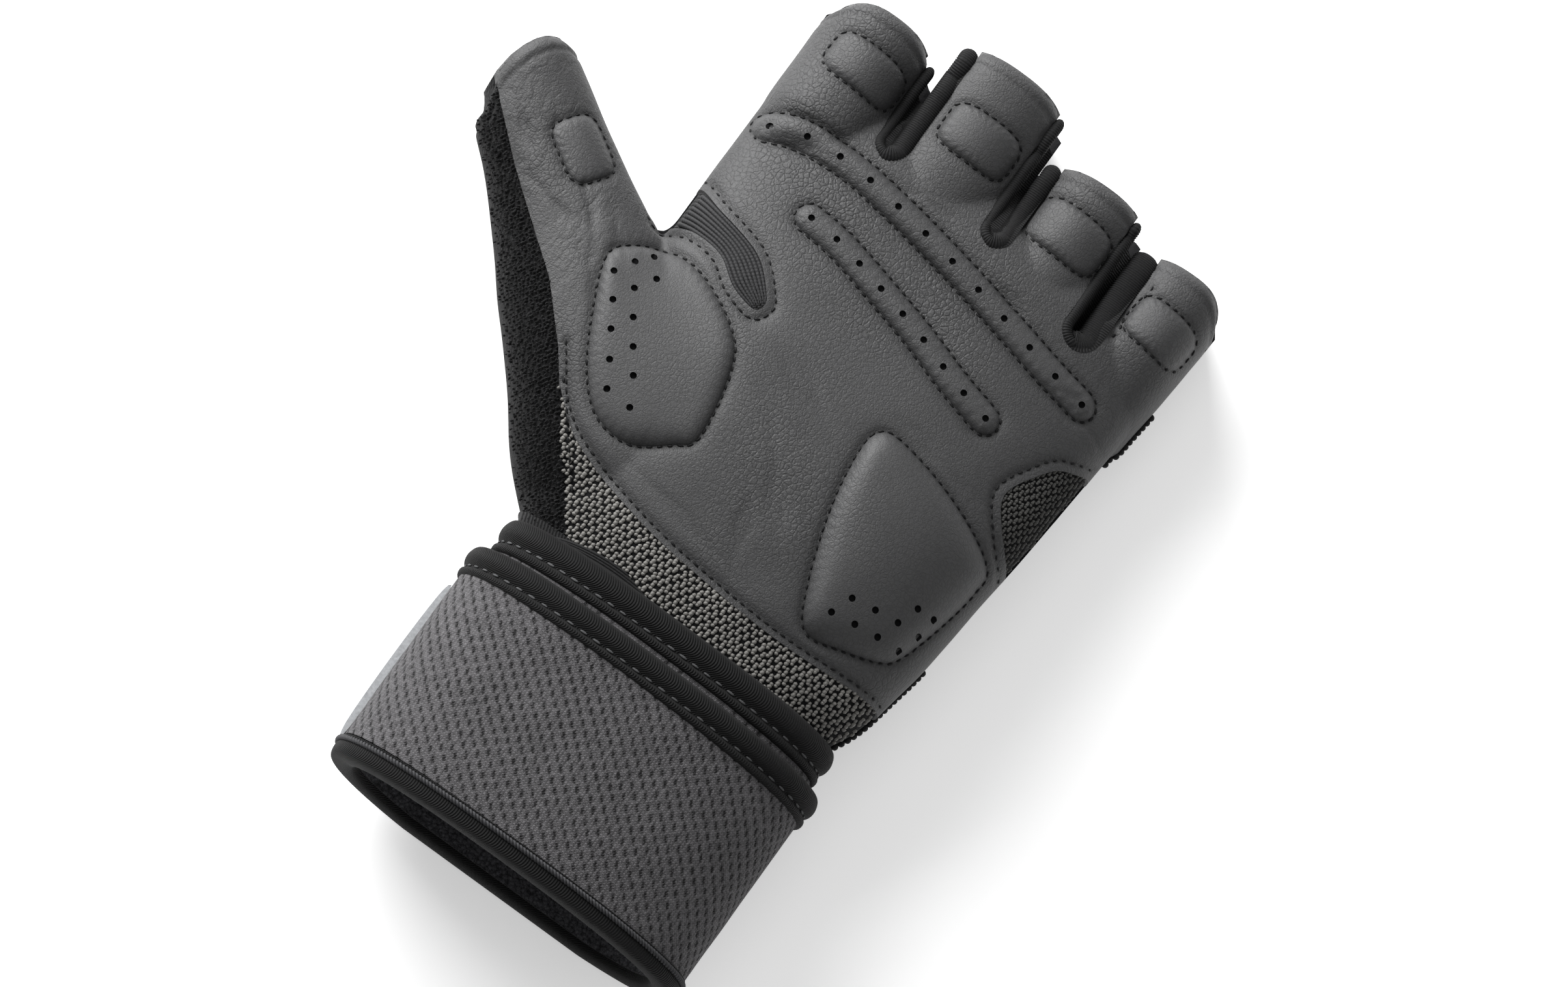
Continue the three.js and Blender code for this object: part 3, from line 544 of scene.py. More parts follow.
def remeshed(piece, voxel, smoothing):
    modifier = piece.modifiers.new("Even", "REMESH")
    modifier.mode = "VOXEL"
    modifier.voxel_size = voxel * MM
    softer = piece.modifiers.new("Soft", "SMOOTH")
    softer.factor = 0.5
    softer.iterations = smoothing
    return settle(piece)


def joined(name, pieces):
    """One object with the meshes of several, which are used up."""
    with bpy.context.temp_override(active_object=pieces[0], selected_editable_objects=pieces):
        bpy.ops.object.join()
    pieces[0].name = name
    return pieces[0]


def discard(*pieces):
    for piece in pieces:
        bpy.data.objects.remove(piece)


def smooth_shaded(piece, angle=50):
    piece.data.shade_smooth()
    piece.data.set_sharp_from_angle(angle=math.radians(angle))


def dress(piece, body_node, *finishes, slot=None):
    """Gives a piece its finishes and lets it stand for its CAD node."""
    which = np.empty(len(piece.data.polygons), np.int32)
    piece.data.polygons.foreach_get("material_index", which)
    piece.data.materials.clear()
    for finish in finishes:
        piece.data.materials.append(finish)
    piece.data.polygons.foreach_set("material_index", np.minimum(which, len(finishes) - 1))
    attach(piece, "root")
    if body_node:
        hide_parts(body_node)
        piece.name = f"{body_node}_soft"
    return piece


# The form of the hand


def palm_loft():
    table = np.array(PALM_SECTIONS)
    wrist = (-WRIST_HALF_WIDTH, WRIST_HALF_WIDTH, WRIST_LOW + WRIST_HEIGHT, WRIST_LOW, WRIST_POWER)
    scaled = np.column_stack([
        along(table[:, 0]),
        across(table[:, 1]),
        across(table[:, 2]),
        table[:, 3] * PALM_HEIGHT,
        table[:, 4] * WRIST_LOW,
        table[:, 5],
    ])
    stations = np.vstack([[(y, *wrist) for y in (-OVERRUN, 54.9, 62)], scaled])
    y = np.arange(stations[0, 0], stations[-1, 0], 1.0)
    kernel = np.exp(-0.5 * (np.arange(-8, 9) / 2.5) ** 2)
    kernel /= kernel.sum()
    columns = []
    for k in range(1, 6):
        dense = np.pad(np.interp(y, stations[:, 0], stations[:, k]), 8, mode="reflect", reflect_type="odd")
        columns.append(np.convolve(dense, kernel, mode="valid"))
    angles = np.linspace(0, 2 * math.pi, 180, endpoint=False)
    rings = []
    for i, place in enumerate(y):
        x, z = section(*(column[i] for column in columns), angles)
        rings.append(np.column_stack([x, np.full(len(x), place), z]))
    return loft("palm_form", np.array(rings))


def stall_tip(stall):
    return along(1) + stall["length"] * STALL_LENGTH


def tip_line(stall, x):
    """Where the stall's open end lies at each place across it."""
    half = stall["half"] * STALL_HALF_WIDTH
    t = np.clip((x - across(stall["centre"] + stall["lean"])) / half, -1.15, 1.15)
    drop = np.where(t < 0, stall["left_drop"], stall["right_drop"]) * STALL_LENGTH
    return stall_tip(stall) - drop * np.abs(t) ** 3.2


def stall_edges():
    """Each stall with the lines between it and its neighbours."""
    edges = [
        -2 * PALM_HALF_WIDTH, *(across(s["centre"]) for s in rows(SLOT_COLUMNS, SLOTS)), 2 * PALM_HALF_WIDTH,
    ]
    return zip(rows(STALL_COLUMNS, STALLS), edges[:-1], edges[1:])


def to_open_end(points):
    """How far each point lies before the open end of its stall or of the thumb."""
    x, y = points[:, 0], points[:, 1]
    distance = np.full(len(points), 99.0)
    for stall, left, right in stall_edges():
        within = (x > left) & (x <= right) & (y > along(STALL_START))
        distance = np.where(within, tip_line(stall, x) - y, distance)
    middle, side, step, half = thumb_mouth()
    across_mouth = (points[:, :2] - middle) @ side / half
    before = np.interp(across_mouth, *np.array(THUMB_END).T) - (points[:, :2] - middle) @ step
    return np.where(x < across(-1.2), before, distance)


def thumb_mouth():
    """The middle of the thumb's open end, the directions across it and out of it, and its half width."""
    stations, _, side, ahead = thumb_stations()
    outer, inner = stations[-1, 0:2], stations[-1, 2:4]
    return (outer + inner) / 2, side, ahead / np.linalg.norm(ahead), np.linalg.norm(inner - outer) / 2


def stall_loft(stall):
    half = stall["half"] * STALL_HALF_WIDTH
    tip = stall_tip(stall)
    low_tip = stall["tip"] * PALM_HEIGHT
    root = stall["root"] * PALM_HEIGHT
    lean = across(stall["lean"])
    stations = np.array([
        (along(STALL_START), 0, half * STALL_SUNK_SHARE, root * STALL_SUNK_SHARE, STALL_SUNK),
        (along(STALL_ROOT), 0, half, root, 0),
        (tip, lean, half, low_tip, 0),
        (tip + OVERRUN, lean, half, low_tip, 0),
    ])
    angles = np.linspace(0, 2 * math.pi, 120, endpoint=False)
    rings = []
    for y in np.append(np.arange(stations[0, 0], stations[-1, 0], 1.0), stations[-1, 0]):
        lean_at, half_at, top, low = (np.interp(y, stations[:, 0], stations[:, k]) for k in range(1, 5))
        middle = across(stall["centre"]) + lean_at
        x, z = section(middle - half_at, middle + half_at, top, low, STALL_POWER, angles)
        rings.append(np.column_stack([x, np.full(len(x), y), z]))
    return loft(stall["name"], np.array(rings))


def thumb_stations():
    """The thumb's outer and inner points, top and low in millimetres, with one row past its open end."""
    table = np.array(THUMB_SECTIONS)
    scaled = np.column_stack([
        across(table[:, 0]), along(table[:, 1]), across(table[:, 2]), along(table[:, 3]),
        table[:, 4] * PALM_HEIGHT, table[:, 5] * PALM_HEIGHT,
    ])
    side = scaled[-1, 2:4] - scaled[-1, 0:2]
    side /= np.linalg.norm(side)
    ahead = np.array([-side[1], side[0]]) * OVERRUN
    past = scaled[-1].copy()
    past[0:2] += ahead
    past[2:4] += ahead
    return scaled, past, side, ahead


def thumb_loft():
    scaled, past, _, _ = thumb_stations()
    stations = np.vstack([scaled, past])
    t = np.linspace(0, len(stations) - 1, 90)
    smooth = np.column_stack([np.interp(t, np.arange(len(stations)), stations[:, k]) for k in range(6)])
    kernel = np.exp(-0.5 * (np.arange(-6, 7) / 3) ** 2)
    kernel /= kernel.sum()
    padded = np.pad(smooth, ((6, 6), (0, 0)), mode="reflect", reflect_type="odd")
    smooth = np.column_stack([np.convolve(padded[:, k], kernel, mode="valid") for k in range(6)])
    angles = np.linspace(0, 2 * math.pi, 120, endpoint=False)
    rings = []
    for row in smooth:
        outer, inner, top, low = row[0:2], row[2:4], row[4], row[5]
        middle, half = (outer + inner) / 2, np.linalg.norm(inner - outer) / 2
        side = (inner - outer) / (2 * half)
        x, z = section(-half, half, top, low, THUMB_POWER, angles)
        rings.append(np.column_stack([middle + x[:, None] * side, z]))
    return loft("thumb_form", np.array(rings))


def hand_form(voxel, smoothing):
    """The hand's outer surface as one closed form, open ends lengthened."""
    slots = [prism(s["name"] + "_cut", slot_outline(s, 0)) for s in rows(SLOT_COLUMNS, SLOTS)]
    palm = palm_loft()
    cut = carved("hand_form", palm, *[("DIFFERENCE", s) for s in slots])
    discard(palm, *slots)
    parts = [cut, thumb_loft(), *(stall_loft(s) for s in rows(STALL_COLUMNS, STALLS))]
    return remeshed(joined("hand_form", parts), voxel, smoothing)


def shifted(name, form, distance):
    """The form grown by a distance, or shrunk where it is negative."""
    piece = bpy.data.objects.new(name, form.data.copy())
    bpy.context.scene.collection.objects.link(piece)
    move_to(piece.data, places(form.data) + normals(form.data) * distance)
    return piece


def above_seam(offset, above=True):
    """All that lies above the side seam between palm and back, or below it."""
    reach = PALM_LENGTH + STALL_LENGTH + CUFF_LENGTH + OVERRUN
    slant = (SEAM_HEIGHT_TIP - SEAM_HEIGHT_WRIST) / (PALM_LENGTH + STALL_LENGTH)
    far = 80 if above else -20
    edge = [(y, SEAM_HEIGHT_WRIST + slant * (y - CUFF_LENGTH) + offset) for y in (-20, reach)]
    profile = [*edge, (reach, far), (-20, far)]
    width = 3 * PALM_HALF_WIDTH
    points = np.array([(x, y, z) for x in (-width, width) for y, z in profile])
    quads = np.array([(0, 1, 2, 3), (4, 7, 6, 5), (0, 4, 5, 1), (1, 5, 6, 2), (2, 6, 7, 3), (3, 7, 4, 0)])
    triangles = np.vstack([quads[:, [0, 1, 2]], quads[:, [0, 2, 3]]])
    piece = mesh_piece("seam_side", points, outward(points, triangles))
    piece.data.polygons.foreach_set("material_index", np.full(len(piece.data.polygons), 2, np.int32))
    return piece


def beyond_cuff(offset):
    width = 3 * PALM_HALF_WIDTH
    tilt = CUFF_TILT * width / PALM_HALF_WIDTH
    y = CUFF_LENGTH - 0.5 + offset
    far = y + 3 * width
    return prism("beyond_cuff", [(-width, y + tilt), (width, y - tilt), (width, far), (-width, far)])


def past_the_tips(short=0):
    """Forms that end the stalls and the thumb where they are open, or a little short of that."""
    cuts = []
    for stall, left, right in stall_edges():
        x = np.linspace(left, right, 81)
        far = stall_tip(stall) + 60
        cuts.append(prism("tip", [*zip(x, tip_line(stall, x) - short), (right, far), (left, far)]))
    middle, side, step, half = thumb_mouth()
    mouth = [middle + side * half * t + step * reach for t, reach in THUMB_END]
    cuts.append(prism("thumb_tip", [*mouth, mouth[-1] + 40 * step, mouth[0] + 40 * step]))
    return cuts


def terry_regions(extra):
    far = [(-2.3, 0.742), (-2.3, -0.1)]
    back_far = [(-2.3, -0.1), (-2.3, 0.95), (-1.25, 0.95)]
    front = prism("terry_front", grown(on_hand([*TERRY_EDGE, *far]), extra))
    back = prism("terry_back", grown(on_hand([*TERRY_BACK_EDGE, *back_far]), extra))
    below = above_seam(extra, above=False)
    side = carved("terry_side", back, ("INTERSECT", below))
    discard(back, below)
    return front, side


# Seams: the lines that stitches follow


def seam_lines():
    """Each seam on the palm as a line of points a millimetre apart, closed or open."""
    return {
        "lower_edge": (smooth_line(on_hand(LEATHER_LOWER_EDGE) + (0, 1.5), 1.0)[16:], False),
        "thumb_edge": (smooth_line(on_hand(TERRY_EDGE[2:5]) + (0.8, 1.6), 1.0), False),
        "elastic": (smooth_line(grown(on_hand(THUMB_ELASTIC), 1.8), 1.0, True), True),
        "vent": (smooth_line(grown(on_hand(VENT), 2.0), 1.0, True), True),
        "little_edge": (on_hand([(0.7, 0.96), (0.705, 1.0), (0.71, 1.04), (0.715, 1.08)]) + (1.6, 0), False),
    }


def pad_shapes():
    """Each pad's name, outline and middle points that its outline shrinks to."""
    shapes = {}
    for pad in rows(STALL_PAD_COLUMNS, STALL_PADS):
        outline = evenly(np.vstack([pad_outline(pad), pad_outline(pad)[:1]]), 0.45, True)
        shapes[pad["name"]] = (outline, np.broadcast_to(outline.mean(0), outline.shape))
    for name, points in (("pad_thenar", PAD_THENAR), ("pad_hypothenar", PAD_HYPOTHENAR)):
        outline = anticlockwise(smooth_line(on_hand(points), 0.5, True))
        shapes[name] = (outline, np.broadcast_to(outline.mean(0), outline.shape))
    for name, points in (
        ("pad_knuckle_upper", UPPER_KNUCKLE_LINE), ("pad_knuckle_lower", LOWER_KNUCKLE_LINE),
    ):
        line = smooth_line(on_hand(points), 0.6)
        closed = strip_outline(line, KNUCKLE_PAD_HALF_WIDTH)
        outline = evenly(np.vstack([closed, closed[:1]]), 0.5, True)
        tree = KDTree(len(line))
        for i, (x, y) in enumerate(line):
            tree.insert((x, y, 0), i)
        tree.balance()
        hubs = np.array([line[tree.find((x, y, 0))[1]] for x, y in outline])
        shapes[name] = (anticlockwise(outline), hubs)
    return shapes


class Pressing:
    """Presses creases, seams and hems into pieces that are cut from the hand's form."""

    def __init__(self, form):
        seams = (
            [line for line, _ in seam_lines().values()]
            + [outline for outline, _ in pad_shapes().values()]
        )
        self.points, self.up = places(form.data), normals(form.data)
        self.depth, self.seam = relief(self.points, self.up, seams)
        self.depth += 0.12 * soft_noise(self.points, 16, 3) + 0.2 * soft_noise(self.points, 38, 5)
        x, y = self.points[:, 0], self.points[:, 1]
        thumb = smoothstep(-x, 46, 66) * (y < 160)
        roots = np.exp(-(((y - 160 + 0.12 * x) / 9) ** 2)) * (np.abs(x + 3) < 56)
        self.wrinkle = np.clip(0.5 * thumb + 0.3 * roots, 0, 1)
        self.tree = KDTree(len(self.points))
        for i, point in enumerate(self.points):
            self.tree.insert(point, i)
        self.tree.balance()

    def press(self, piece, reach=1.0):
        points = places(piece.data)
        near = [self.tree.find(point)[1:] for point in points]
        index = np.array([i for i, _ in near])
        close = np.array([distance for _, distance in near]) < reach
        depth = self.depth[index] * close
        move_to(piece.data, points - self.up[index] * depth[:, None])
        # The seam and wrinkle values are what the leather finish darkens as painted shade, along the seam
        # grooves and the wrinkles.
        keep(piece.data, "seam", self.seam[index] * close)
        keep(piece.data, "wrinkle", self.wrinkle[index] * close)


class Surface:
    """The hand's palm side, to lay pieces on."""

    def __init__(self, piece):
        mesh = piece.data
        polygons = [tuple(p.vertices) for p in mesh.polygons]
        self.tree = BVHTree.FromPolygons([v.co for v in mesh.vertices], polygons)

    def at(self, x, y):
        """The height and normal at a point, in millimetres."""
        start = Vector((x * MM + ORIGIN[0], y * MM + ORIGIN[1], 0.09))
        place, normal, _, _ = self.tree.ray_cast(start, Vector((0, 0, -1)))
        if place is None:
            return None, None
        return place.z / MM, normal

    def heights(self, points):
        out = np.full(len(points), np.nan)
        for i, (x, y) in enumerate(points):
            z, _ = self.at(x, y)
            if z is not None:
                out[i] = z
        good = np.isfinite(out)
        if not good.all():
            out[~good] = out[good].min() if good.any() else 0
        return out


def segment_distance(points, x0, y0, x1, y1):
    """How far points lie aside of a segment, and how far past its ends."""
    a, d = np.array([x0, y0]), np.array([x1 - x0, y1 - y0])
    length = np.linalg.norm(d)
    t = (points - a) @ d / length**2
    aside = np.abs((points - a) @ np.array([-d[1], d[0]])) / length
    return aside, np.clip(t, 0, 1), np.maximum(0, np.abs(t - 0.5) - 0.5) * length


def relief(points, normal, seams):
    """How far the leather lies under its even form, and how deep in a seam each point is."""
    plan = points[:, :2]
    facing = smoothstep(normal[:, 2], 0.0, 0.35)
    depth = np.zeros(len(points))
    for x0, y0, x1, y1, deep, half in CREASES:
        aside, t, past = segment_distance(plan, x0, y0, x1, y1)
        wave = 0.5 * half * np.sin(t * 9 + x0)
        fade = np.sin(math.pi * np.clip(t, 0.08, 0.92)) * np.exp(-((past / half) ** 2))
        depth += 0.75 * deep * fade * np.exp(-(((aside + wave) / (0.75 * half)) ** 2))
    tree = KDTree(sum(len(line) for line in seams))
    i = 0
    for line in seams:
        for x, y in line:
            tree.insert((x, y, 0), i)
            i += 1
    tree.balance()
    near = np.full(len(points), 9.0)
    for k in np.flatnonzero(facing > 0):
        near[k] = tree.find((plan[k, 0], plan[k, 1], 0))[2]
    seam = np.exp(-((near / 0.85) ** 2)) * facing
    pull = np.exp(-((near / 2.6) ** 2)) * facing
    end = to_open_end(points)
    hem = 1.5 * np.clip(1 - end / 2.6, 0, 1) ** 2 + 0.3 * np.exp(-(((end - 3.4) / 0.6) ** 2))
    return depth * facing + 0.4 * seam + 0.25 * pull + hem, seam


def soft_noise(points, scale, seed):
    """A gentle wave field over points, from a few seeded directions."""
    rng = np.random.default_rng(seed)
    total = np.zeros(len(points))
    for _ in range(7):
        direction = rng.normal(size=3)
        direction /= np.linalg.norm(direction)
        total += np.sin(
            points @ direction * (2 * math.pi / scale) * rng.uniform(0.6, 1.5) + rng.uniform(0, 6.3)
        )
    return total / 7


# Stitches and threads


def bead(sides=8, rings=4):
    """A unit ellipsoid's points and triangles."""
    angle = np.linspace(0, 2 * math.pi, sides, endpoint=False)
    tilt = np.linspace(-math.pi / 2, math.pi / 2, rings + 1)[1:-1]
    points = [(0, 0, -1)]
    for t in tilt:
        points += [(math.cos(t) * math.cos(a), math.cos(t) * math.sin(a), math.sin(t)) for a in angle]
    points.append((0, 0, 1))
    count = len(tilt)
    side = np.arange(sides)
    beside = (side + 1) % sides
    faces = [np.column_stack([np.zeros(sides, int), 1 + beside, 1 + side])]
    for r in range(count - 1):
        low, high = 1 + r * sides, 1 + (r + 1) * sides
        faces.append(np.column_stack([low + side, low + beside, high + beside]))
        faces.append(np.column_stack([low + side, high + beside, high + side]))
    last = 1 + (count - 1) * sides
    faces.append(np.column_stack([last + side, last + beside, np.full(sides, 1 + count * sides)]))
    return np.array(points, float), np.vstack(faces)


def beads(name, centres, lengthwise, upward, sizes, shape=None):
    """Many ellipsoids as one piece, from their middles, long axes, upward axes and half sizes."""
    points, faces = shape or bead()
    lengthwise = lengthwise / np.linalg.norm(lengthwise, axis=1)[:, None]
    aside = np.cross(upward, lengthwise)
    aside /= np.maximum(1e-9, np.linalg.norm(aside, axis=1))[:, None]
    up = np.cross(lengthwise, aside)
    sizes = np.broadcast_to(np.asarray(sizes, float), (len(centres), 3))
    placed = (
        centres[:, None, :]
        + points[None, :, 0:1] * (sizes[:, 0:1] * lengthwise)[:, None, :]
        + points[None, :, 1:2] * (sizes[:, 1:2] * aside)[:, None, :]
        + points[None, :, 2:3] * (sizes[:, 2:3] * up)[:, None, :]
    )
    index = faces[None] + (np.arange(len(centres)) * len(points))[:, None, None]
    piece = mesh_piece(name, placed.reshape(-1, 3), index.reshape(-1, 3))
    piece.data.shade_smooth()
    return piece


def evenly_in_space(line, step):
    run = run_along(line)
    at = np.linspace(0, run[-1], max(3, round(run[-1] / step)))
    return np.column_stack([np.interp(at, run, line[:, k]) for k in range(3)]), at


def tube(name, centre, wide, high, sides=10, closed=False):
    """A tube along a line of points in space, as wide and high at each of them as it says."""
    tangent = (
        np.roll(centre, -1, axis=0) - np.roll(centre, 1, axis=0) if closed else np.gradient(centre, axis=0)
    )
    tangent /= np.linalg.norm(tangent, axis=1)[:, None]
    aside = np.cross(tangent, (0, 0, 1.0))
    aside /= np.maximum(1e-6, np.linalg.norm(aside, axis=1))[:, None]
    up = np.cross(aside, tangent)
    angle = np.linspace(0, 2 * math.pi, sides, endpoint=False)
    wide = np.broadcast_to(wide, len(centre))[:, None, None]
    high = np.broadcast_to(high, len(centre))[:, None, None]
    ring = (
        wide * np.cos(angle)[None, :, None] * aside[:, None]
        + high * np.sin(angle)[None, :, None] * up[:, None]
    )
    points = (centre[:, None] + ring).reshape(-1, 3)
    piece = mesh_piece(name, points, ring_faces(len(centre), sides, closed))
    piece.data.shade_smooth()
    return piece


def round_ended(at, length):
    """Shares of a tube's width that close it roundly at both ends."""
    to_end = np.clip(np.minimum(at, at[-1] - at) / length, 0, 1)
    return np.sqrt(np.clip(1 - (1 - to_end) ** 2, 0.0004, 1))


def laid(surface, line, lift=0.0):
    """A line on the palm as points in space with their normals; points off the hand are dropped."""
    points, up = [], []
    for x, y in line:
        z, normal = surface.at(x, y)
        if z is not None and normal.z > 0.12:
            points.append((x + lift * normal.x, y + lift * normal.y, z + lift * normal.z))
            up.append(tuple(normal))
    return np.array(points), np.array(up)


def stitch_row(name, surface, line, closed, sizes, rng, lift=0.05):
    """Short stitches along a line, each a little askew."""
    even = evenly(np.vstack([line, line[:1]]) if closed else line, sizes.stitch_pitch / MM, closed)
    points, up = laid(surface, even, lift)
    if len(points) < 3:
        return None
    way = np.gradient(points, axis=0)
    way /= np.linalg.norm(way, axis=1)[:, None]
    aside = np.cross(up, way)
    way = way + aside * rng.normal(0, 0.1, len(points))[:, None]
    half = np.column_stack([
        sizes.stitch_length / MM / 2 * rng.uniform(0.85, 1.15, len(points)),
        sizes.stitch_width / MM / 2 * rng.uniform(0.85, 1.2, len(points)),
        np.full(len(points), sizes.stitch_width / MM / 2.4),
    ])
    return beads(name, points, way, up, half)


# Shader maths


class Term:
    """A value in a material's node tree. Maths on it adds nodes."""

    def __init__(self, finish, socket):
        self.finish = finish
        self.socket = socket

    def maths(self, operation, *others):
        return self.finish.node("ShaderNodeMath", {"operation": operation}, self, *others)

    def __add__(self, other):
        return self.maths("ADD", other)

    __radd__ = __add__

    def __mul__(self, other):
        return self.maths("MULTIPLY", other)

    __rmul__ = __mul__

    def __sub__(self, other):
        return self.maths("SUBTRACT", other)

    def __rsub__(self, other):
        return self.finish.node("ShaderNodeMath", {"operation": "SUBTRACT"}, other, self)

    def __truediv__(self, other):
        return self.maths("DIVIDE", other)

    def __pow__(self, other):
        return self.maths("POWER", other)

    def __abs__(self):
        return self.maths("ABSOLUTE")

    def wave(self):
        """From 0 to 1 and back, once for each turn of two pi."""
        return 0.5 + 0.5 * self.maths("SINE")

    def clamped(self, low, high):
        return self.maths("MAXIMUM", low).maths("MINIMUM", high)

    def part(self, which):
        """One part of a vector: X, Y or Z."""
        return self.finish.node("ShaderNodeSeparateXYZ", {}, self, output=which)


class Finish:
    """A material, made from the nodes that its values add."""

    def __init__(self, name, roughness=0.6, sheen=0.0, specular=0.2):
        self.material = bpy.data.materials.new(name)
        self.material.use_nodes = True
        self.tree = self.material.node_tree
        self.shader = next(n for n in self.tree.nodes if n.type == "BSDF_PRINCIPLED")
        self.shader.inputs["Roughness"].default_value = roughness
        self.shader.inputs["Sheen Weight"].default_value = sheen
        self.shader.inputs["Sheen Roughness"].default_value = 0.5
        self.shader.inputs["Specular IOR Level"].default_value = specular

    def node(self, kind, settings, *values, output=None, **named):
        """One node: its settings first, then the values or terms of its sockets, in order or by name."""
        node = self.tree.nodes.new(kind)
        for key, value in settings.items():
            setattr(node, key, value)
        sockets = [s for s in node.inputs if s.enabled]
        wanted = list(zip(sockets, values))
        wanted += [(next(s for s in sockets if s.name == key), value) for key, value in named.items()]
        for socket, value in wanted:
            if isinstance(value, Term):
                self.tree.links.new(value.socket, socket)
            else:
                socket.default_value = value
        outputs = [s for s in node.outputs if s.enabled]
        return Term(self, next((s for s in outputs if s.name == output), outputs[0]))

    def place(self):
        return self.node("ShaderNodeTexCoord", {}, output="Object")

    def kept(self, name, output="Fac"):
        """A value that the mesh keeps at its vertices."""
        return self.node("ShaderNodeAttribute", {"attribute_name": name}, output=output)

    def noise(self, place, scale, detail=3.0, roughness=0.55, distortion=0.0):
        return self.node(
            "ShaderNodeTexNoise", {}, output="Fac",
            Vector=place, Scale=scale, Detail=detail, Roughness=roughness, Distortion=distortion,
        )

    def cells(self, place, scale, feature="F1"):
        return self.node(
            "ShaderNodeTexVoronoi", {"feature": feature}, output="Distance", Vector=place, Scale=scale,
        )

    def bent(self, place, scale, amount):
        """The place, moved a little by noise, so that a regular pattern turns uneven."""
        shift = self.node("ShaderNodeTexNoise", {}, output="Color", Vector=place, Scale=scale, Detail=2.0)
        moved = self.node("ShaderNodeVectorMath", {"operation": "MULTIPLY"}, shift, (amount, amount, amount))
        return self.node("ShaderNodeVectorMath", {"operation": "ADD"}, place, moved)

    def stretched(self, place, x, y, z, turn=0.0):
        return self.node(
            "ShaderNodeMapping", {}, place,
            Scale=(x, y, z), Rotation=(0, 0, math.radians(turn)),
        )

    def between(self, low, high, factor):
        """A colour between two others."""
        return self.node(
            "ShaderNodeMix", {"data_type": "RGBA"}, output="Result",
            Factor=factor, A=colour(low), B=colour(high),
        )

    def bumpy(self, height, distance, strength=1.0):
        return self.node(
            "ShaderNodeBump", {}, output="Normal", Strength=strength, Distance=distance, Height=height,
        )

    def made(self, **inputs):
        """Links terms to the shader's sockets and returns the material."""
        for key, term in inputs.items():
            socket = self.shader.inputs[key.replace("_", " ")]
            if isinstance(term, Term):
                self.tree.links.new(term.socket, socket)
            else:
                socket.default_value = term
        return self.material


def colour(value):
    return value if isinstance(value, Term) or len(value) == 4 else (*value, 1.0)


def scaled(value, factor):
    return tuple(c * factor for c in value)


def leather_finish(name, tint, pebble, depth):
    """Grained leather: uneven pebbles, fine pores, thin wrinkles and broad wear, with painted shade in the
    pebble valleys, the wrinkles and the seam grooves.
    """
    finish = Finish(name, specular=0.5)
    place = finish.place()
    bent = finish.bent(place, 500.0, 0.0009)
    valley = (finish.cells(bent, pebble, "DISTANCE_TO_EDGE") * 4.5).clamped(0.0, 1.0) ** 0.6
    small = (finish.cells(bent, pebble * 2.1, "DISTANCE_TO_EDGE") * 4.0).clamped(0.0, 1.0)
    pores = finish.noise(place, pebble * 3.4, 3.0, 0.6)
    patch = ((finish.noise(place, 28.0, 2.0) - 0.3) * 2.6).clamped(0.25, 1.0)
    lined = finish.stretched(finish.bent(place, 160.0, 0.006), 1.0, 0.22, 1.0, -33.0)
    wrinkle = (
        (1 - abs(finish.noise(lined, 210.0, 3.0, 0.55) - 0.5) * 9.0).clamped(0.0, 1.0)
        * finish.kept("wrinkle")
    )
    height = valley * patch * 0.8 + small * 0.22 + pores * 0.25 - wrinkle * 1.3
    broad = finish.noise(place, 35.0, 3.0, 0.6, 0.3)
    seam = finish.kept("seam")
    # Painted shade: darker in the pebble valleys and along the wrinkles; the pore and broad noise vary the
    # tone at random.
    shade = (valley * 0.38 + pores * 0.25 + broad * 0.55 - wrinkle * 0.25).clamped(0.0, 1.0)
    tone = finish.between(scaled(tint, 0.62), scaled(tint, 1.36), shade)
    # Painted shade: the colour darkens along the seam grooves and round the pads' stitched edges, where the
    # seam value is high.
    dark = finish.between(tone, scaled(tint, 0.2), (seam * 0.5).clamped(0.0, 0.6))
    return finish.made(
        Base_Color=dark,
        Roughness=0.46 + 0.16 * pores + 0.08 * broad,
        Normal=finish.bumpy(height, depth),
    )


def plain_finish(name, tint, roughness=0.9, scale=900.0, depth=0.0002, sheen=0.0):
    """A matt surface with a fine even tooth, such as a lining, a thread or a cut edge."""
    finish = Finish(name, roughness=roughness, sheen=sheen)
    tooth = finish.noise(finish.place(), scale, 4.0, 0.6)
    return finish.made(
        Base_Color=finish.between(scaled(tint, 0.65), scaled(tint, 1.4), tooth),
        Normal=finish.bumpy(tooth, depth),
    )


def ribbed_finish(name, tint, pitch, slant=0.0, lay="lay"):
    """Knit tape with fine ribs across it. lay holds the places along and across the tape in metres."""
    finish = Finish(name, roughness=0.75, sheen=0.03)
    place = finish.kept(lay, "Vector")
    run = place.part("X") + place.part("Y") * slant
    rib = (run * (2 * math.pi / pitch)).wave()
    fuzz = finish.noise(place, 2600.0, 2.0, 0.7)
    patch = finish.noise(place, 160.0, 2.0)
    height = rib + fuzz * 0.35
    # Painted light and shade: the rib crests are lighter and the grooves between them darker; fuzz and patch
    # noise vary the tone at random.
    shade = (rib ** 1.5 * 0.75 + (fuzz - 0.5) * 0.5 + (patch - 0.5) * 0.35).clamped(0.0, 1.0)
    return finish.made(
        Base_Color=finish.between(scaled(tint, 0.25), scaled(tint, 2.1), shade),
        Normal=finish.bumpy(height, pitch * 0.3),
    )


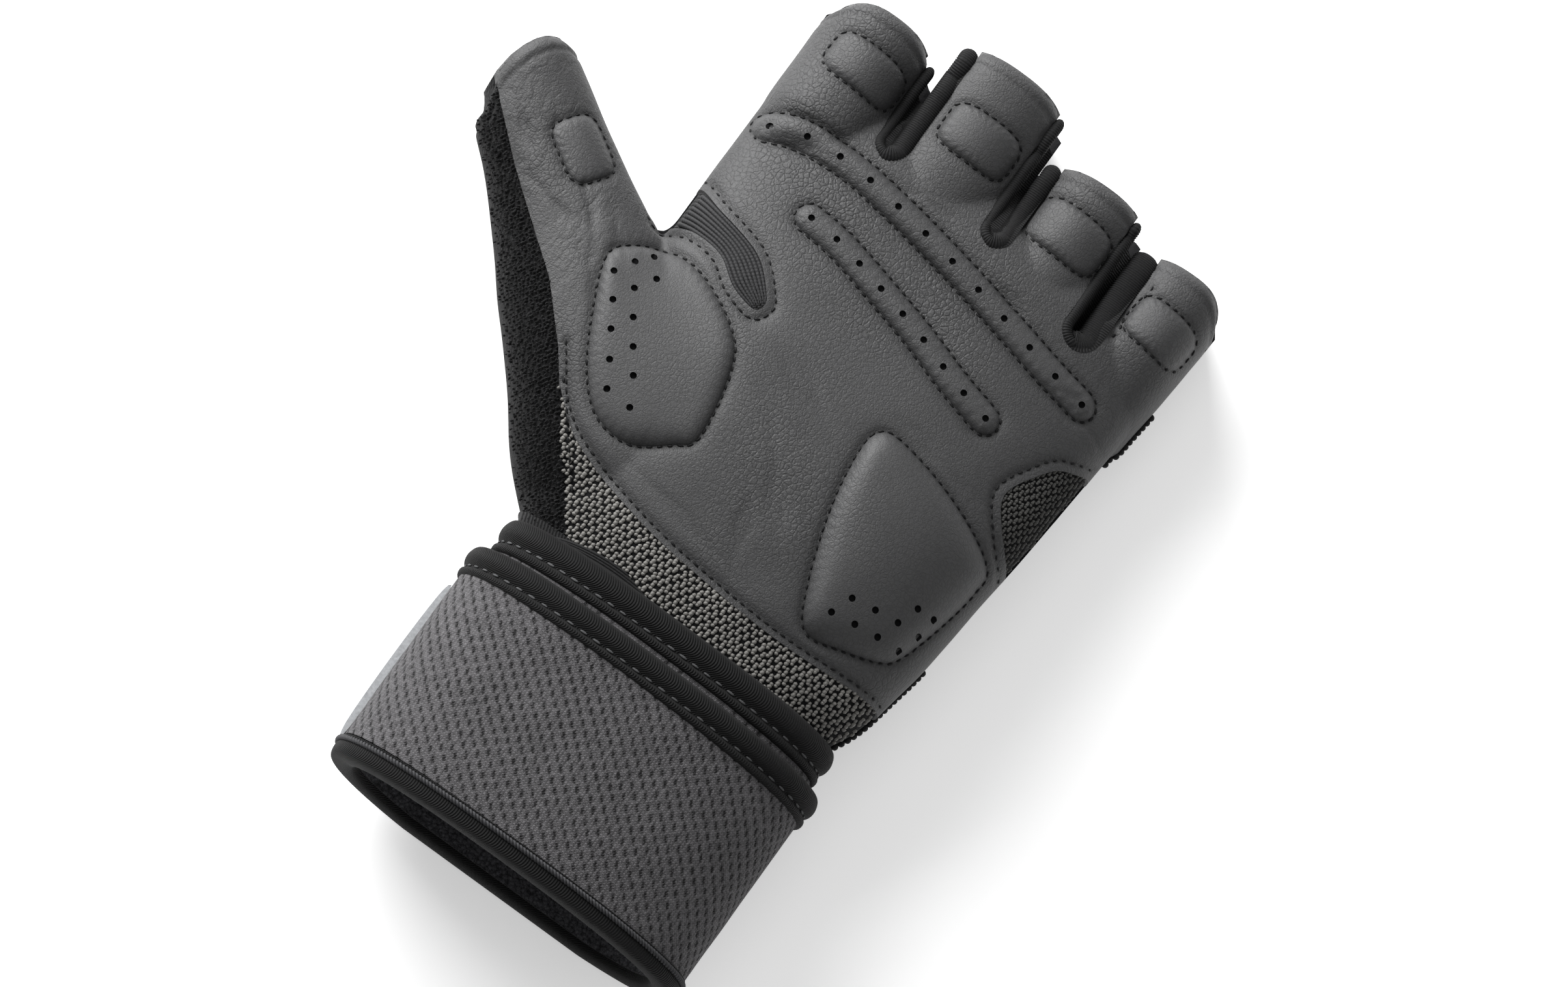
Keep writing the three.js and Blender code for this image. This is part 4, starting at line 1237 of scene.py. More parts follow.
def wrap_finish(name, tint):
    """Heathered knit: fine chevron columns with slanted pits between them, brightest where it is worn."""
    finish = Finish(name, roughness=0.8, sheen=0.1)
    place = finish.kept("lay", "Vector")
    pit = finish.kept("pit")
    u, v = place.part("X"), place.part("Y")
    column = (u / 0.00072).maths("FRACT")
    leaning = abs(column - 0.5) * 2.0
    loops = ((v / 0.0007 + leaning * 0.7) * (2 * math.pi)).wave()
    edge = 1 - leaning ** 4.0
    flecks = finish.noise(finish.stretched(place, 1.0, 0.45, 1.0), 1500.0, 2.0, 0.7)
    broad = finish.noise(place, 60.0, 3.0)
    height = loops * 0.5 * edge + flecks * 0.6 - pit * 1.0
    # Painted light and shade: the loops' crests are lighter and the pits darker; flecks and broad noise vary
    # the tone at random.
    shade = (
        loops * edge * 0.3 + (flecks - 0.5) * 1.4 + 0.38 + (broad - 0.5) * 0.3 - pit * 0.75
    ).clamped(0.0, 1.0)
    return finish.made(
        Base_Color=finish.between(scaled(tint, 0.16), scaled(tint, 1.75), shade),
        Normal=finish.bumpy(height, 0.00022),
    )


def knot_finish(name, tint):
    """Shiny grey mesh yarn."""
    finish = Finish(name, roughness=0.55, sheen=0.03)
    place = finish.place()
    fibre = finish.noise(finish.stretched(place, 1.0, 2.2, 1.0, 30.0), 2600.0, 2.0)
    broad = finish.noise(place, 90.0, 2.0)
    shade = (fibre * 0.7 + broad * 0.4).clamped(0.0, 1.0)
    return finish.made(
        Base_Color=finish.between(scaled(tint, 0.45), scaled(tint, 1.6), shade),
        Normal=finish.bumpy(fibre, 0.0001),
    )


def terry_finish(name, tint):
    """Black looped terry: soft columns of small tufts."""
    finish = Finish(name, roughness=1.0, sheen=0.05)
    place = finish.place()
    tuft = finish.cells(place, 1150.0)
    fuzz = finish.noise(place, 3200.0, 3.0, 0.7)
    height = (1 - tuft) * 0.7 + fuzz * 0.5
    shade = ((1 - tuft) * 0.5 + (fuzz - 0.4) * 1.2 - 0.15).clamped(0.0, 1.0)
    return finish.made(
        Base_Color=finish.between(scaled(tint, 0.3), scaled(tint, 3.4), shade),
        Normal=finish.bumpy(height, 0.0005),
    )


def back_mesh_finish(name, tint):
    """Coarse black mesh with round holes."""
    finish = Finish(name, roughness=0.8, sheen=0.03)
    place = finish.place()
    hole = finish.cells(finish.stretched(place, 1.0, 0.8, 1.0), 520.0)
    thread = finish.noise(place, 2600.0, 2.0)
    height = (hole * 1.6).clamped(0.0, 0.6) + thread * 0.25
    shade = ((hole * 1.8).clamped(0.0, 1.0) * 0.6 + (thread - 0.4) * 0.7).clamped(0.0, 1.0)
    return finish.made(
        Base_Color=finish.between(scaled(tint, 0.3), scaled(tint, 2.4), shade),
        Normal=finish.bumpy(height, 0.0006),
    )


def elastic_finish(name, tint):
    """Ribbed elastic with its ribs along the slot."""
    finish = Finish(name, roughness=0.8, sheen=0.04)
    place = finish.kept("lay", "Vector")
    rib = (place.part("Y") * (2 * math.pi / 0.00095)).wave()
    loops = ((place.part("X") / 0.0006 + rib * 0.4) * (2 * math.pi)).wave()
    fuzz = finish.noise(place, 2400.0, 2.0, 0.7)
    height = rib + loops * 0.35 + fuzz * 0.3
    # Painted light and shade: the rib crests are lighter and the gaps between them darker; loops and fuzz
    # vary the tone.
    shade = (rib ** 1.4 * 0.6 + loops * 0.25 + (fuzz - 0.5) * 0.9).clamped(0.0, 1.0)
    return finish.made(
        Base_Color=finish.between(scaled(tint, 0.2), scaled(tint, 2.6), shade),
        Normal=finish.bumpy(height, 0.0004),
    )


# Sizes and colours that a user would change


class GloveSizes(bpy.types.PropertyGroup):
    fineness: bpy.props.FloatProperty(
        name="Fineness", description="Size of the faces of the hand's surface",
        default=0.00062, unit="LENGTH", subtype="DISTANCE", precision=5,
    )
    leather_wall: bpy.props.FloatProperty(
        name="Leather", description="Thickness of the palm's leather",
        default=0.0014, unit="LENGTH", subtype="DISTANCE",
    )
    stitch_pitch: bpy.props.FloatProperty(
        name="Stitch pitch", description="From one stitch to the next",
        default=0.0021, unit="LENGTH", subtype="DISTANCE",
    )
    stitch_length: bpy.props.FloatProperty(
        name="Stitch length", description="Length of one stitch",
        default=0.0014, unit="LENGTH", subtype="DISTANCE",
    )
    stitch_width: bpy.props.FloatProperty(
        name="Stitch width", description="Width of one stitch",
        default=0.00052, unit="LENGTH", subtype="DISTANCE",
    )
    perforation: bpy.props.FloatProperty(
        name="Perforation", description="Diameter of the holes in the pads",
        default=0.0015, unit="LENGTH", subtype="DISTANCE",
    )
    rib_pitch: bpy.props.FloatProperty(
        name="Rib pitch", description="From one rib of the knit tape to the next", default=0.0005,
        unit="LENGTH", subtype="DISTANCE", precision=5,
    )
    knot_pitch: bpy.props.FloatProperty(
        name="Knot pitch", description="From one knot of the grey mesh to the next", default=0.001,
        unit="LENGTH", subtype="DISTANCE", precision=5,
    )


def tint_property(name, value):
    return bpy.props.FloatVectorProperty(
        name=name, description=f"Colour of the {name.lower()}",
        default=value, size=3, min=0, max=1, subtype="COLOR",
    )


class GloveColours(bpy.types.PropertyGroup):
    leather: tint_property("Leather", (0.037, 0.037, 0.038))
    pads: tint_property("Pads", (0.04, 0.04, 0.041))
    lining: tint_property("Lining", (0.012, 0.012, 0.013))
    terry: tint_property("Terry", (0.009, 0.009, 0.0095))
    grey_mesh: tint_property("Grey mesh", (0.17, 0.165, 0.155))
    vent_mesh: tint_property("Vent mesh", (0.062, 0.061, 0.058))
    black_mesh: tint_property("Black mesh", (0.01, 0.01, 0.0105))
    elastic: tint_property("Elastic", (0.011, 0.011, 0.0115))
    wrap: tint_property("Wrap", (0.093, 0.09, 0.094))
    binding: tint_property("Binding", (0.009, 0.009, 0.0095))
    thread: tint_property("Thread", (0.006, 0.006, 0.0065))
    pale_thread: tint_property("Pale thread", (0.075, 0.076, 0.078))
    cut_edge: tint_property("Cut edge", (0.11, 0.11, 0.11))
    piping: tint_property("Piping", (0.045, 0.045, 0.048))
    tab: tint_property("Tab", (0.42, 0.43, 0.445))
    floor: tint_property("Floor", (0.93, 0.93, 0.93))


# What the operators share while the glove is built
WORK = {}


def finishes():
    """The glove's materials, made once."""
    if "finishes" not in WORK:
        tint = bpy.context.scene.glove_colours
        size = bpy.context.scene.glove_sizes
        WORK["finishes"] = {
            "leather": leather_finish("leather", tuple(tint.leather), 800.0, 0.00015),
            "pads": leather_finish("pad_leather", tuple(tint.pads), 900.0, 0.0001),
            "lining": plain_finish("lining", tuple(tint.lining)),
            "cut_edge": plain_finish("cut_edge", tuple(tint.cut_edge), 0.8),
            "dark": plain_finish("dark", tuple(tint.thread), 0.95),
            "thread": plain_finish("thread", tuple(tint.thread), 0.6, 2500.0, 0.0001),
            "pale_thread": plain_finish("pale_thread", tuple(tint.pale_thread), 0.7, 2500.0, 0.0001),
            "terry": terry_finish("terry", tuple(tint.terry)),
            "knots": knot_finish("grey_mesh", tuple(tint.grey_mesh)),
            "vent_knots": knot_finish("vent_mesh", tuple(tint.vent_mesh)),
            "black_mesh": back_mesh_finish("back_mesh", tuple(tint.black_mesh)),
            "gusset": ribbed_finish("gusset_knit", tuple(tint.elastic), size.rib_pitch * 1.1),
            "roll": plain_finish("rolled_edge", scaled(tuple(tint.elastic), 0.75), 0.7, 1800.0, 0.0001, 0.03),
            # The thumb elastic's rib tubes are a lighter copy of the elastic: painted highlight on the ribs.
            "rib": plain_finish("slot_rib", scaled(tuple(tint.elastic), 2.6), 0.6, 1800.0, 0.0001, 0.03),
            "cuff": ribbed_finish("cuff_rib", tuple(tint.elastic), 0.0007),
            # A copy of the lining five times lighter for the inside of the cuff: painted light in its shaded
            # inside.
            "cuff_lining": terry_finish("cuff_lining", scaled(tuple(tint.lining), 5.0)),
            "elastic": elastic_finish("elastic", tuple(tint.elastic)),
            "wrap": wrap_finish("wrap_knit", tuple(tint.wrap)),
            "binding": ribbed_finish("binding", scaled(tuple(tint.binding), 0.42), size.rib_pitch * 1.2),
            "piping": plain_finish("piping", tuple(tint.piping), 0.6, 2500.0, 0.0001),
            "tab": plain_finish("tab", tuple(tint.tab), 0.55, 1500.0, 0.0001),
        }
    return WORK["finishes"]


class GLOVE_OT_hand(bpy.types.Operator):
    """Builds the hand's panels: leather, knotted mesh, elastic, terry, gussets and the back"""

    bl_idname = "glove.hand"
    bl_label = "Hand panels"

    def execute(self, context):
        sizes = context.scene.glove_sizes
        looks = finishes()
        fine = hand_form(sizes.fineness / MM, 5)
        pressing = Pressing(fine)
        sample = shifted("sample", fine, 0)
        pressing.press(sample)
        WORK["surface"] = Surface(sample)

        hollow = hand_form(1.6, 4)
        wall = sizes.leather_wall / MM
        inner = shifted("inner", hollow, -wall - 0.3)
        inner.data.polygons.foreach_set("material_index", np.ones(len(inner.data.polygons), np.int32))
        under = shifted("under", fine, -0.55)
        over = shifted("over", hollow, 0.15)
        tips = past_the_tips()
        ends = [("DIFFERENCE", tip) for tip in tips]
        gusset_ends = [("DIFFERENCE", tip) for tip in past_the_tips(6.5)]
        palm_side, back_side = above_seam(0), above_seam(0, above=False)
        beyond = beyond_cuff(0)
        terry_front, terry_side = terry_regions(0)
        terry_front_wide, terry_side_wide = terry_regions(1.0)
        wrist = prism("wrist", np.vstack([
            smooth_line(on_hand(LEATHER_LOWER_EDGE), 1.0), on_hand([(-0.98, -0.1), (1.2, -0.1)]),
        ]))
        wrist_wide = prism("wrist_wide", np.vstack([
            smooth_line(on_hand(LEATHER_LOWER_EDGE) + (0, 2), 1.0),
            on_hand([(-1.1, -0.1), (1.2, -0.1)]),
        ]))
        slots = rows(SLOT_COLUMNS, SLOTS)
        elastic = prism("elastic_hole", smooth_line(on_hand(THUMB_ELASTIC), 0.6, True))
        elastic_wide = prism("elastic_wide", grown(smooth_line(on_hand(THUMB_ELASTIC), 0.6, True), 1.2))
        vent = prism("vent_hole", smooth_line(on_hand(VENT), 0.8, True))
        vent_wide = prism("vent_wide", grown(smooth_line(on_hand(VENT), 0.8, True), 1.2))
        bands = [prism(s["name"] + "_band", slot_outline(s, GUSSET_BAND), GUSSET_LOW) for s in slots]
        cut_bands = [("DIFFERENCE", band) for band in bands]

        leather = carved(
            "palm_leather", fine,
            ("INTERSECT", palm_side), ("INTERSECT", beyond), ("DIFFERENCE", terry_front),
            ("DIFFERENCE", wrist),
            ("DIFFERENCE", elastic), ("DIFFERENCE", vent), *cut_bands, *ends, ("DIFFERENCE", inner),
        )
        pressing.press(leather)
        smooth_shaded(leather)
        dress(leather, "palm_leather", looks["leather"], looks["lining"], looks["cut_edge"], slot="leather")

        back = carved(
            "back_mesh", hollow,
            ("INTERSECT", back_side), ("INTERSECT", beyond), ("DIFFERENCE", terry_front),
            ("DIFFERENCE", terry_side),
            *cut_bands, *ends, ("DIFFERENCE", inner),
        )
        smooth_shaded(back)
        dress(back, "back_mesh", looks["black_mesh"], looks["lining"], looks["lining"], slot="back_mesh")

        terry = carved(
            "thumb_terry", under,
            ("INTERSECT", beyond), *ends, ("DIFFERENCE", inner),
        )
        front = carved("terry_a", terry, ("INTERSECT", terry_front_wide))
        side = carved("terry_b", terry, ("INTERSECT", terry_side_wide), ("DIFFERENCE", terry_front_wide))
        discard(terry)
        terry = joined("thumb_terry", [front, side])
        pressing.press(terry)
        smooth_shaded(terry)
        dress(terry, "thumb_terry", looks["terry"], looks["lining"], looks["lining"], slot="terry")

        mesh = carved(
            "wrist_mesh", under,
            ("INTERSECT", palm_side), ("INTERSECT", wrist_wide), ("DIFFERENCE", terry_front),
            ("INTERSECT", beyond), ("DIFFERENCE", inner),
        )
        pressing.press(mesh)
        smooth_shaded(mesh)
        dress(mesh, "wrist_mesh", looks["dark"], looks["lining"], looks["lining"], slot="grey_mesh")

        slot_fabric = carved(
            "thumb_elastic", under,
            ("INTERSECT", palm_side), ("INTERSECT", elastic_wide), ("DIFFERENCE", terry_front),
            ("DIFFERENCE", inner),
        )
        turn = math.radians(-22)
        at = places(slot_fabric.data)
        run = (at[:, 0] * math.cos(turn) + at[:, 1] * math.sin(turn)) * MM
        aside = (-at[:, 0] * math.sin(turn) + at[:, 1] * math.cos(turn)) * MM
        keep(slot_fabric.data, "lay", np.column_stack([run, aside, 0 * run]))
        pressing.press(slot_fabric)
        smooth_shaded(slot_fabric)
        dress(
            slot_fabric, "thumb_elastic", looks["elastic"], looks["lining"], looks["lining"],
            slot="ribbed_elastic",
        )

        vent_fabric = carved(
            "vent_mesh", under,
            ("INTERSECT", palm_side), ("INTERSECT", vent_wide), ("DIFFERENCE", inner),
        )
        pressing.press(vent_fabric)
        smooth_shaded(vent_fabric)
        dress(vent_fabric, "vent_mesh", looks["dark"], looks["lining"], looks["lining"], slot="grey_mesh")

        for slot, band in zip(slots, bands):
            gusset = carved(slot["name"], over, ("INTERSECT", band), *gusset_ends, ("DIFFERENCE", inner))
            at = places(gusset.data)
            foot = along(slot["foot"]) + slot["half"] * SLOT_HALF_WIDTH
            aside = at[:, 0] - across(slot["centre"])
            round_foot = np.arctan2(aside, np.maximum(0.01, foot - at[:, 1])) * 3.5
            straight = np.sign(aside) * (math.pi / 2 * 3.5 + at[:, 1] - foot)
            run = np.where(at[:, 1] < foot, round_foot, straight)
            keep(gusset.data, "lay", np.column_stack([run, at[:, 2], 0 * run]) * MM)
            smooth_shaded(gusset)
            dress(
                gusset, slot["name"], looks["gusset"], looks["lining"], looks["lining"],
                slot="ribbed_elastic",
            )

        sleeve = carved(
            "inner_cuff", hollow,
            ("DIFFERENCE", beyond), ("DIFFERENCE", rim_cut()), ("DIFFERENCE", inner),
        )
        at = places(sleeve.data)
        keep(sleeve.data, "lay", np.column_stack([at[:, 0] + 0.35 * at[:, 1], at[:, 1], at[:, 2]]) * MM)
        smooth_shaded(sleeve)
        dress(sleeve, "inner_cuff", looks["cuff"], looks["cuff_lining"], looks["lining"], slot="cuff_knit")

        for piece in [o for o in bpy.data.objects if o.type == "MESH" and not body_of(o)]:
            discard(piece)
        return {"FINISHED"}


def rim_cut():
    width = 3 * PALM_HALF_WIDTH
    return prism("rim", [(-width, -60), (width, -60), (width, 2.6), (-width, 2.6)])


def inside(outline, points):
    """Whether each point lies in an outline."""
    x, y = points[:, 0], points[:, 1]
    within = np.zeros(len(points), bool)
    for (x0, y0), (x1, y1) in zip(outline, np.roll(outline, -1, axis=0)):
        crossing = (y0 > y) != (y1 > y)
        with np.errstate(divide="ignore", invalid="ignore"):
            at = x0 + (y - y0) / (y1 - y0) * (x1 - x0)
        within ^= crossing & (x < at)
    return within


class GLOVE_OT_knots(bpy.types.Operator):
    """Lays the knots of the grey mesh at the wrist and in the vent"""

    bl_idname = "glove.knots"
    bl_label = "Grey mesh"

    def execute(self, context):
        pitch = context.scene.glove_sizes.knot_pitch / MM
        rng = np.random.default_rng(11)
        lower = smooth_line(on_hand(LEATHER_LOWER_EDGE) + (0, 0.4), 1.0)
        wrist = np.vstack([lower, on_hand([(-0.98, -0.03), (1.2, -0.03)])])
        terry = on_hand([*TERRY_EDGE, (-2.3, 0.742), (-2.3, -0.1)])
        vent = grown(smooth_line(on_hand(VENT), 0.8, True), 0.4)
        self.lay("wrist_mesh_knots", wrist, terry, pitch, rng, "knots")
        self.lay("vent_mesh_knots", vent, None, pitch * 0.78, rng, "vent_knots")
        return {"FINISHED"}

    def lay(self, name, region, without, pitch, rng, look):
        low, high = region.min(0), region.max(0)
        spots = []
        row = 0
        y = low[1]
        while y < high[1]:
            is_open = row % 2
            step = pitch * (2 if is_open else 1)
            start = low[0] + (pitch * ((row // 2) % 2) if is_open else 0)
            spots += [(x, y, is_open) for x in np.arange(start, high[0], step)]
            y += pitch * 0.7
            row += 1
        spots = np.array(spots)
        bow = 0.0012 * spots[:, 0] ** 2 if look == "knots" else 0
        plan = np.column_stack([spots[:, 0], spots[:, 1] + bow])
        wanted = inside(region, plan)
        if without is not None:
            wanted &= ~inside(without, plan)
        plan, is_open = plan[wanted], spots[wanted, 2]
        points, up, kept = [], [], []
        for (x, y), flag in zip(plan, is_open):
            z, normal = WORK["surface"].at(x, y)
            if z is None or normal.z < 0.1 or y < 58:
                continue
            points.append(np.array((x, y, z)) - 0.45 * np.array(normal))
            up.append(tuple(normal))
            kept.append(flag)
        points, up, kept = np.array(points), np.array(up), np.array(kept)
        points[:, :2] += rng.normal(0, 0.07 * pitch, (len(points), 2))
        lean = rng.normal(0, 0.25, len(points)) + np.where(kept > 0, 1.3, 0.5)
        way = np.column_stack([np.cos(lean), np.sin(lean), np.zeros(len(points))])
        half = np.column_stack([
            np.where(kept > 0, 0.64, 0.54) * pitch, np.where(kept > 0, 0.52, 0.44) * pitch,
            np.full(len(points), 0.42 * pitch),
        ]) * rng.uniform(0.9, 1.1, (len(points), 1))
        piece = beads(name, points, way, up, half, bead(6, 4))
        dress(piece, None, finishes()[look], slot="grey_mesh")


class GLOVE_OT_pads(bpy.types.Operator):
    """Builds the padded islands of the palm with their perforations"""

    bl_idname = "glove.pads"
    bl_label = "Pads"

    def execute(self, context):
        holes = {
            "pad_thenar": hole_points(THENAR_HOLE_ROWS),
            "pad_hypothenar": hole_points(HYPOTHENAR_HOLE_ROWS),
        }
        for name, points, count in (
            ("pad_knuckle_upper", UPPER_KNUCKLE_LINE, UPPER_KNUCKLE_HOLES),
            ("pad_knuckle_lower", LOWER_KNUCKLE_LINE, LOWER_KNUCKLE_HOLES),
        ):
            line = smooth_line(on_hand(points), 0.2)
            run = run_along(line)
            at = np.linspace(0, run[-1], count)
            holes[name] = np.column_stack([np.interp(at, run, line[:, k]) for k in range(2)])
        rng = np.random.default_rng(23)
        radius = context.scene.glove_sizes.perforation / MM / 2
        for name, (outline, hubs) in pad_shapes().items():
            pad = self.pad(name, outline, hubs, rng)
            if name in holes:
                pad = self.drilled(pad, holes[name], radius)
            smooth_shaded(pad, 45)
            dress(pad, name, finishes()["pads"], finishes()["dark"], slot="pad_leather")
        return {"FINISHED"}

    def pad(self, name, outline, hubs, rng):
        shares = np.array([
            1, 0.985, 0.965, 0.94, 0.91, 0.875, 0.835, 0.79, 0.74, 0.68, 0.6, 0.51, 0.41, 0.3, 0.18, 0,
        ])
        rise, shoulder = PAD_RISE[name], PAD_SHOULDER.get(name, SHOULDER)
        count = len(outline)
        plans = [hubs + (outline - hubs) * share for share in shares]
        radii = np.linalg.norm(outline - hubs, axis=1)
        surface = WORK["surface"]
        follow = 1.2 if "knuckle" in name else 5
        base = self.even(plans, [surface.heights(plan) for plan in plans], shares, follow)
        pucker = 0.06 * np.sin(np.arange(count) * 2 * math.pi / max(4, round(2.4 / 0.5)) + rng.uniform(0, 6))
        rings = []
        for plan, share, ground in zip(plans, shares, base):
            inward = (1 - share) * radii
            height = rise * (1 - np.exp(-((inward / shoulder) ** 1.3))) * (0.82 + 0.18 * (1 - share**2))
            height += pucker * np.exp(-(((inward - 1.2) / 1.0) ** 2)) - 0.35 * np.exp(-inward / 0.35)
            rings.append(np.column_stack([plan, ground + height + 0.1]))
        floor = np.column_stack([plans[0], base[0] - 1.2])
        under = np.column_stack([plans[-1], base[-1] - 1.0])
        stack = np.array([under, floor, *rings])
        points = stack.reshape(-1, 3)
        quads = ring_faces(len(stack), count)
        triangles = np.vstack([quads[:, [0, 1, 2]], quads[:, [0, 2, 3]]])
        seam = np.zeros(len(points))
        for i, share in enumerate(shares):
            inward = (1 - share) * radii
            seam[(i + 2) * count:(i + 3) * count] = np.exp(-((inward / 0.6) ** 2))
        piece = mesh_piece(name, points, outward(points, triangles))
        # The seam value marks the pad's stitched edge, which the leather finish darkens as painted shade.
        keep(piece.data, "seam", seam)
        self.weld(piece)
        return piece

    def even(self, plans, heights, shares, follow):
        """The heights under a pad, evened out towards its middle, the sooner the higher follow is."""
        plan, height = np.vstack(plans), np.concatenate(heights)
        x, y = (plan - plan.mean(0)).T / 20
        terms = np.column_stack([x**i * y**j for i in range(4) for j in range(4 - i)])
        even = terms @ np.linalg.lstsq(terms, height, rcond=None)[0]
        even = even.reshape(len(plans), -1)
        settled = [e + (h - e) * share**follow for e, h, share in zip(even, heights, shares)]
        if follow < 2:
            settled = [np.maximum(s, h - 0.1) for s, h in zip(settled, heights)]
        return settled

    def weld(self, piece):
        """Joins points that lie in one place, such as the ring at a pad's middle."""
        form = bmesh.new()
        form.from_mesh(piece.data)
        bmesh.ops.remove_doubles(form, verts=form.verts, dist=0.02 * MM)
        form.to_mesh(piece.data)
        form.free()

    def drilled(self, pad, spots, radius):
        top = Surface(pad)
        angle = np.linspace(0, 2 * math.pi, 16, endpoint=False)
        drills = []
        for x, y in spots:
            z, _ = top.at(x, y)
            ground, _ = WORK["surface"].at(x, y)
            if z is None or ground is None:
                continue
            # Painted shade: each hole's walls and floor take the dark finish, and the floor stays above the
            # leather beneath so none of it shows.
            bottom = min(max(z - 0.9, ground + 0.15), z - 0.25)
            ring = np.column_stack([x + radius * np.cos(angle), y + radius * np.sin(angle)])
            drills.append(prism("drill", ring, bottom, 80, face=1))
        drill = joined("drill", drills)
        drill.data.polygons.foreach_set("material_index", np.ones(len(drill.data.polygons), np.int32))
        bored = carved(pad.name + "_bored", pad, ("DIFFERENCE", drill))
        name = pad.name
        discard(pad, drill)
        bored.name = name
        return bored


class GLOVE_OT_stitches(bpy.types.Operator):
    """Sews the seams with short black stitches, over the grooves that the leather's finish darkens with
    painted shade
    """

    bl_idname = "glove.stitches"
    bl_label = "Seams"

    def execute(self, context):
        sizes = context.scene.glove_sizes
        surface = WORK["surface"]
        rng = np.random.default_rng(31)
        lines = dict(seam_lines())
        lines.update({name: (outline, True) for name, (outline, _) in pad_shapes().items()})
        threads = []
        for line, closed in lines.values():
            row = stitch_row("stitches", surface, line, closed, sizes, rng, 0.04)
            if row:
                threads.append(row)
        stitches = joined("black_stitches", threads)
        dress(stitches, None, finishes()["thread"], slot="leather")
        return {"FINISHED"}


class GLOVE_OT_rolls(bpy.types.Operator):
    """Builds the rolls along the gussets, the ribs of the thumb's elastic and the edge of the back"""

    bl_idname = "glove.rolls"
    bl_label = "Rolls and ribs"

    RIB = 0.52
    ROLL = 1.25
    ELASTIC_RIBS = 8
    GATHERED_RIBS = 6

    def execute(self, context):
        stalls = rows(STALL_COLUMNS, STALLS)
        look = finishes()["roll"]
        for slot, before, after in zip(rows(SLOT_COLUMNS, SLOTS), stalls[:-1], stalls[1:]):
            self.roll(slot, before, after, look)
        self.elastic()
        self.gathers(look)
        self.back_edge(look)
        return {"FINISHED"}

    def roll(self, slot, before, after, look):
        """One roll round the foot of a slot, up to the open ends of the stalls on both sides of it."""
        middle = across(slot["centre"])
        ends = [tip_line(stall, middle + side * 4) - 1.2 for stall, side in ((before, -1), (after, 1))]
        line = self.slot_line(slot, GUSSET_BAND - 0.95, ends)
        edge = self.slot_line(slot, GUSSET_BAND + 0.8, ends)
        heights = WORK["surface"].heights(edge)
        heights = np.convolve(np.pad(heights, 6, mode="edge"), np.full(13, 1 / 13), mode="valid")
        to_tip = np.minimum(np.abs(ends[0] - line[:, 1]), np.abs(ends[1] - line[:, 1]))
        heights -= 0.85 + 1.4 * np.clip(1 - to_tip / 5, 0, 1) ** 2
        centre, at = evenly_in_space(np.column_stack([line, heights]), self.RIB / 5)
        broad = smoothstep(centre[:, 0], middle - 1, middle + 1) * (0.75 + 1.8 * (slot["half"] - 1))
        centre[:, 0] -= 0.8 * broad
        ribbed = round_ended(at, 2.4) * (1 + 0.06 * np.sin(2 * math.pi * at / self.RIB))
        piece = tube(slot["name"] + "_roll", centre, (self.ROLL + broad) * ribbed, self.ROLL * ribbed, 16)
        dress(piece, None, look, slot="ribbed_elastic")

    def slot_line(self, slot, extra, ends):
        """A line round the foot of a slot, up to the open ends of the stalls beside it."""
        x = across(slot["centre"])
        radius = slot["half"] * SLOT_HALF_WIDTH
        y = along(slot["foot"]) + radius
        half = radius + extra
        angle = math.pi * (1 + np.linspace(0, 1, 30))
        arc = np.column_stack([x + half * np.cos(angle), y + half * np.sin(angle)])
        left = np.column_stack([np.full(40, x - half), np.linspace(ends[0], y, 40)])
        right = np.column_stack([np.full(40, x + half), np.linspace(y, ends[1], 40)])
        return np.vstack([left[:-1], arc, right[1:]])

    def elastic(self):
        """The thick ribs that run along the thumb's slot and close up towards its ends."""
        edge = on_hand(THUMB_ELASTIC)
        upper = smooth_line(edge[:5], 0.5)
        lower = smooth_line(edge[:4:-1], 0.5)
        t = np.linspace(0.14, 1, 60)
        upper, lower = (
            np.column_stack([
                np.interp(t * (len(line) - 1), np.arange(len(line)), line[:, k]) for k in range(2)
            ])
            for line in (upper, lower)
        )
        width = np.linalg.norm(upper - lower, axis=1) / self.ELASTIC_RIBS
        ribs = []
        for k in range(self.ELASTIC_RIBS):
            share = (k + 0.5) / self.ELASTIC_RIBS
            line = lower + (upper - lower) * share
            heights = WORK["surface"].heights(line)
            centre, at = evenly_in_space(np.column_stack([line, heights - 0.75]), 0.16)
            wide = np.interp(np.linspace(0, 1, len(at)), np.linspace(0, 1, len(t)), width) * 0.52
            chain = (1 + 0.06 * np.sin(2 * math.pi * at / 0.8 + k)) * round_ended(at, 0.8)
            ribs.append(tube("rib", centre, wide * chain, np.minimum(wide, 0.7) * chain, 8))
        piece = joined("thumb_elastic_ribs", ribs)
        dress(piece, None, finishes()["rib"], slot="ribbed_elastic")

    def gathers(self, look):
        """Black ribs gathered above the wrap, where the terry's lower edge is taken in."""
        ribs = []
        for k in range(self.GATHERED_RIBS):
            x = np.linspace(-36 + 0.4 * k, -2 - 2.5 * k, 50)
            t = (x + 36) / 34
            y = 61.6 + 0.55 * k * np.sin(math.pi * np.clip(t, 0, 1)) ** 0.7 + 2.2 * t * (1 - t)
            heights = WORK["surface"].heights(np.column_stack([x, y]))
            centre, at = evenly_in_space(np.column_stack([x, y, heights + 0.25]), 0.2)
            ribs.append(tube("gather", centre, 0.36 * round_ended(at, 6), 0.36 * round_ended(at, 6), 8))
        piece = joined("gathered_ribs", ribs)
        dress(piece, None, look, slot="ribbed_elastic")

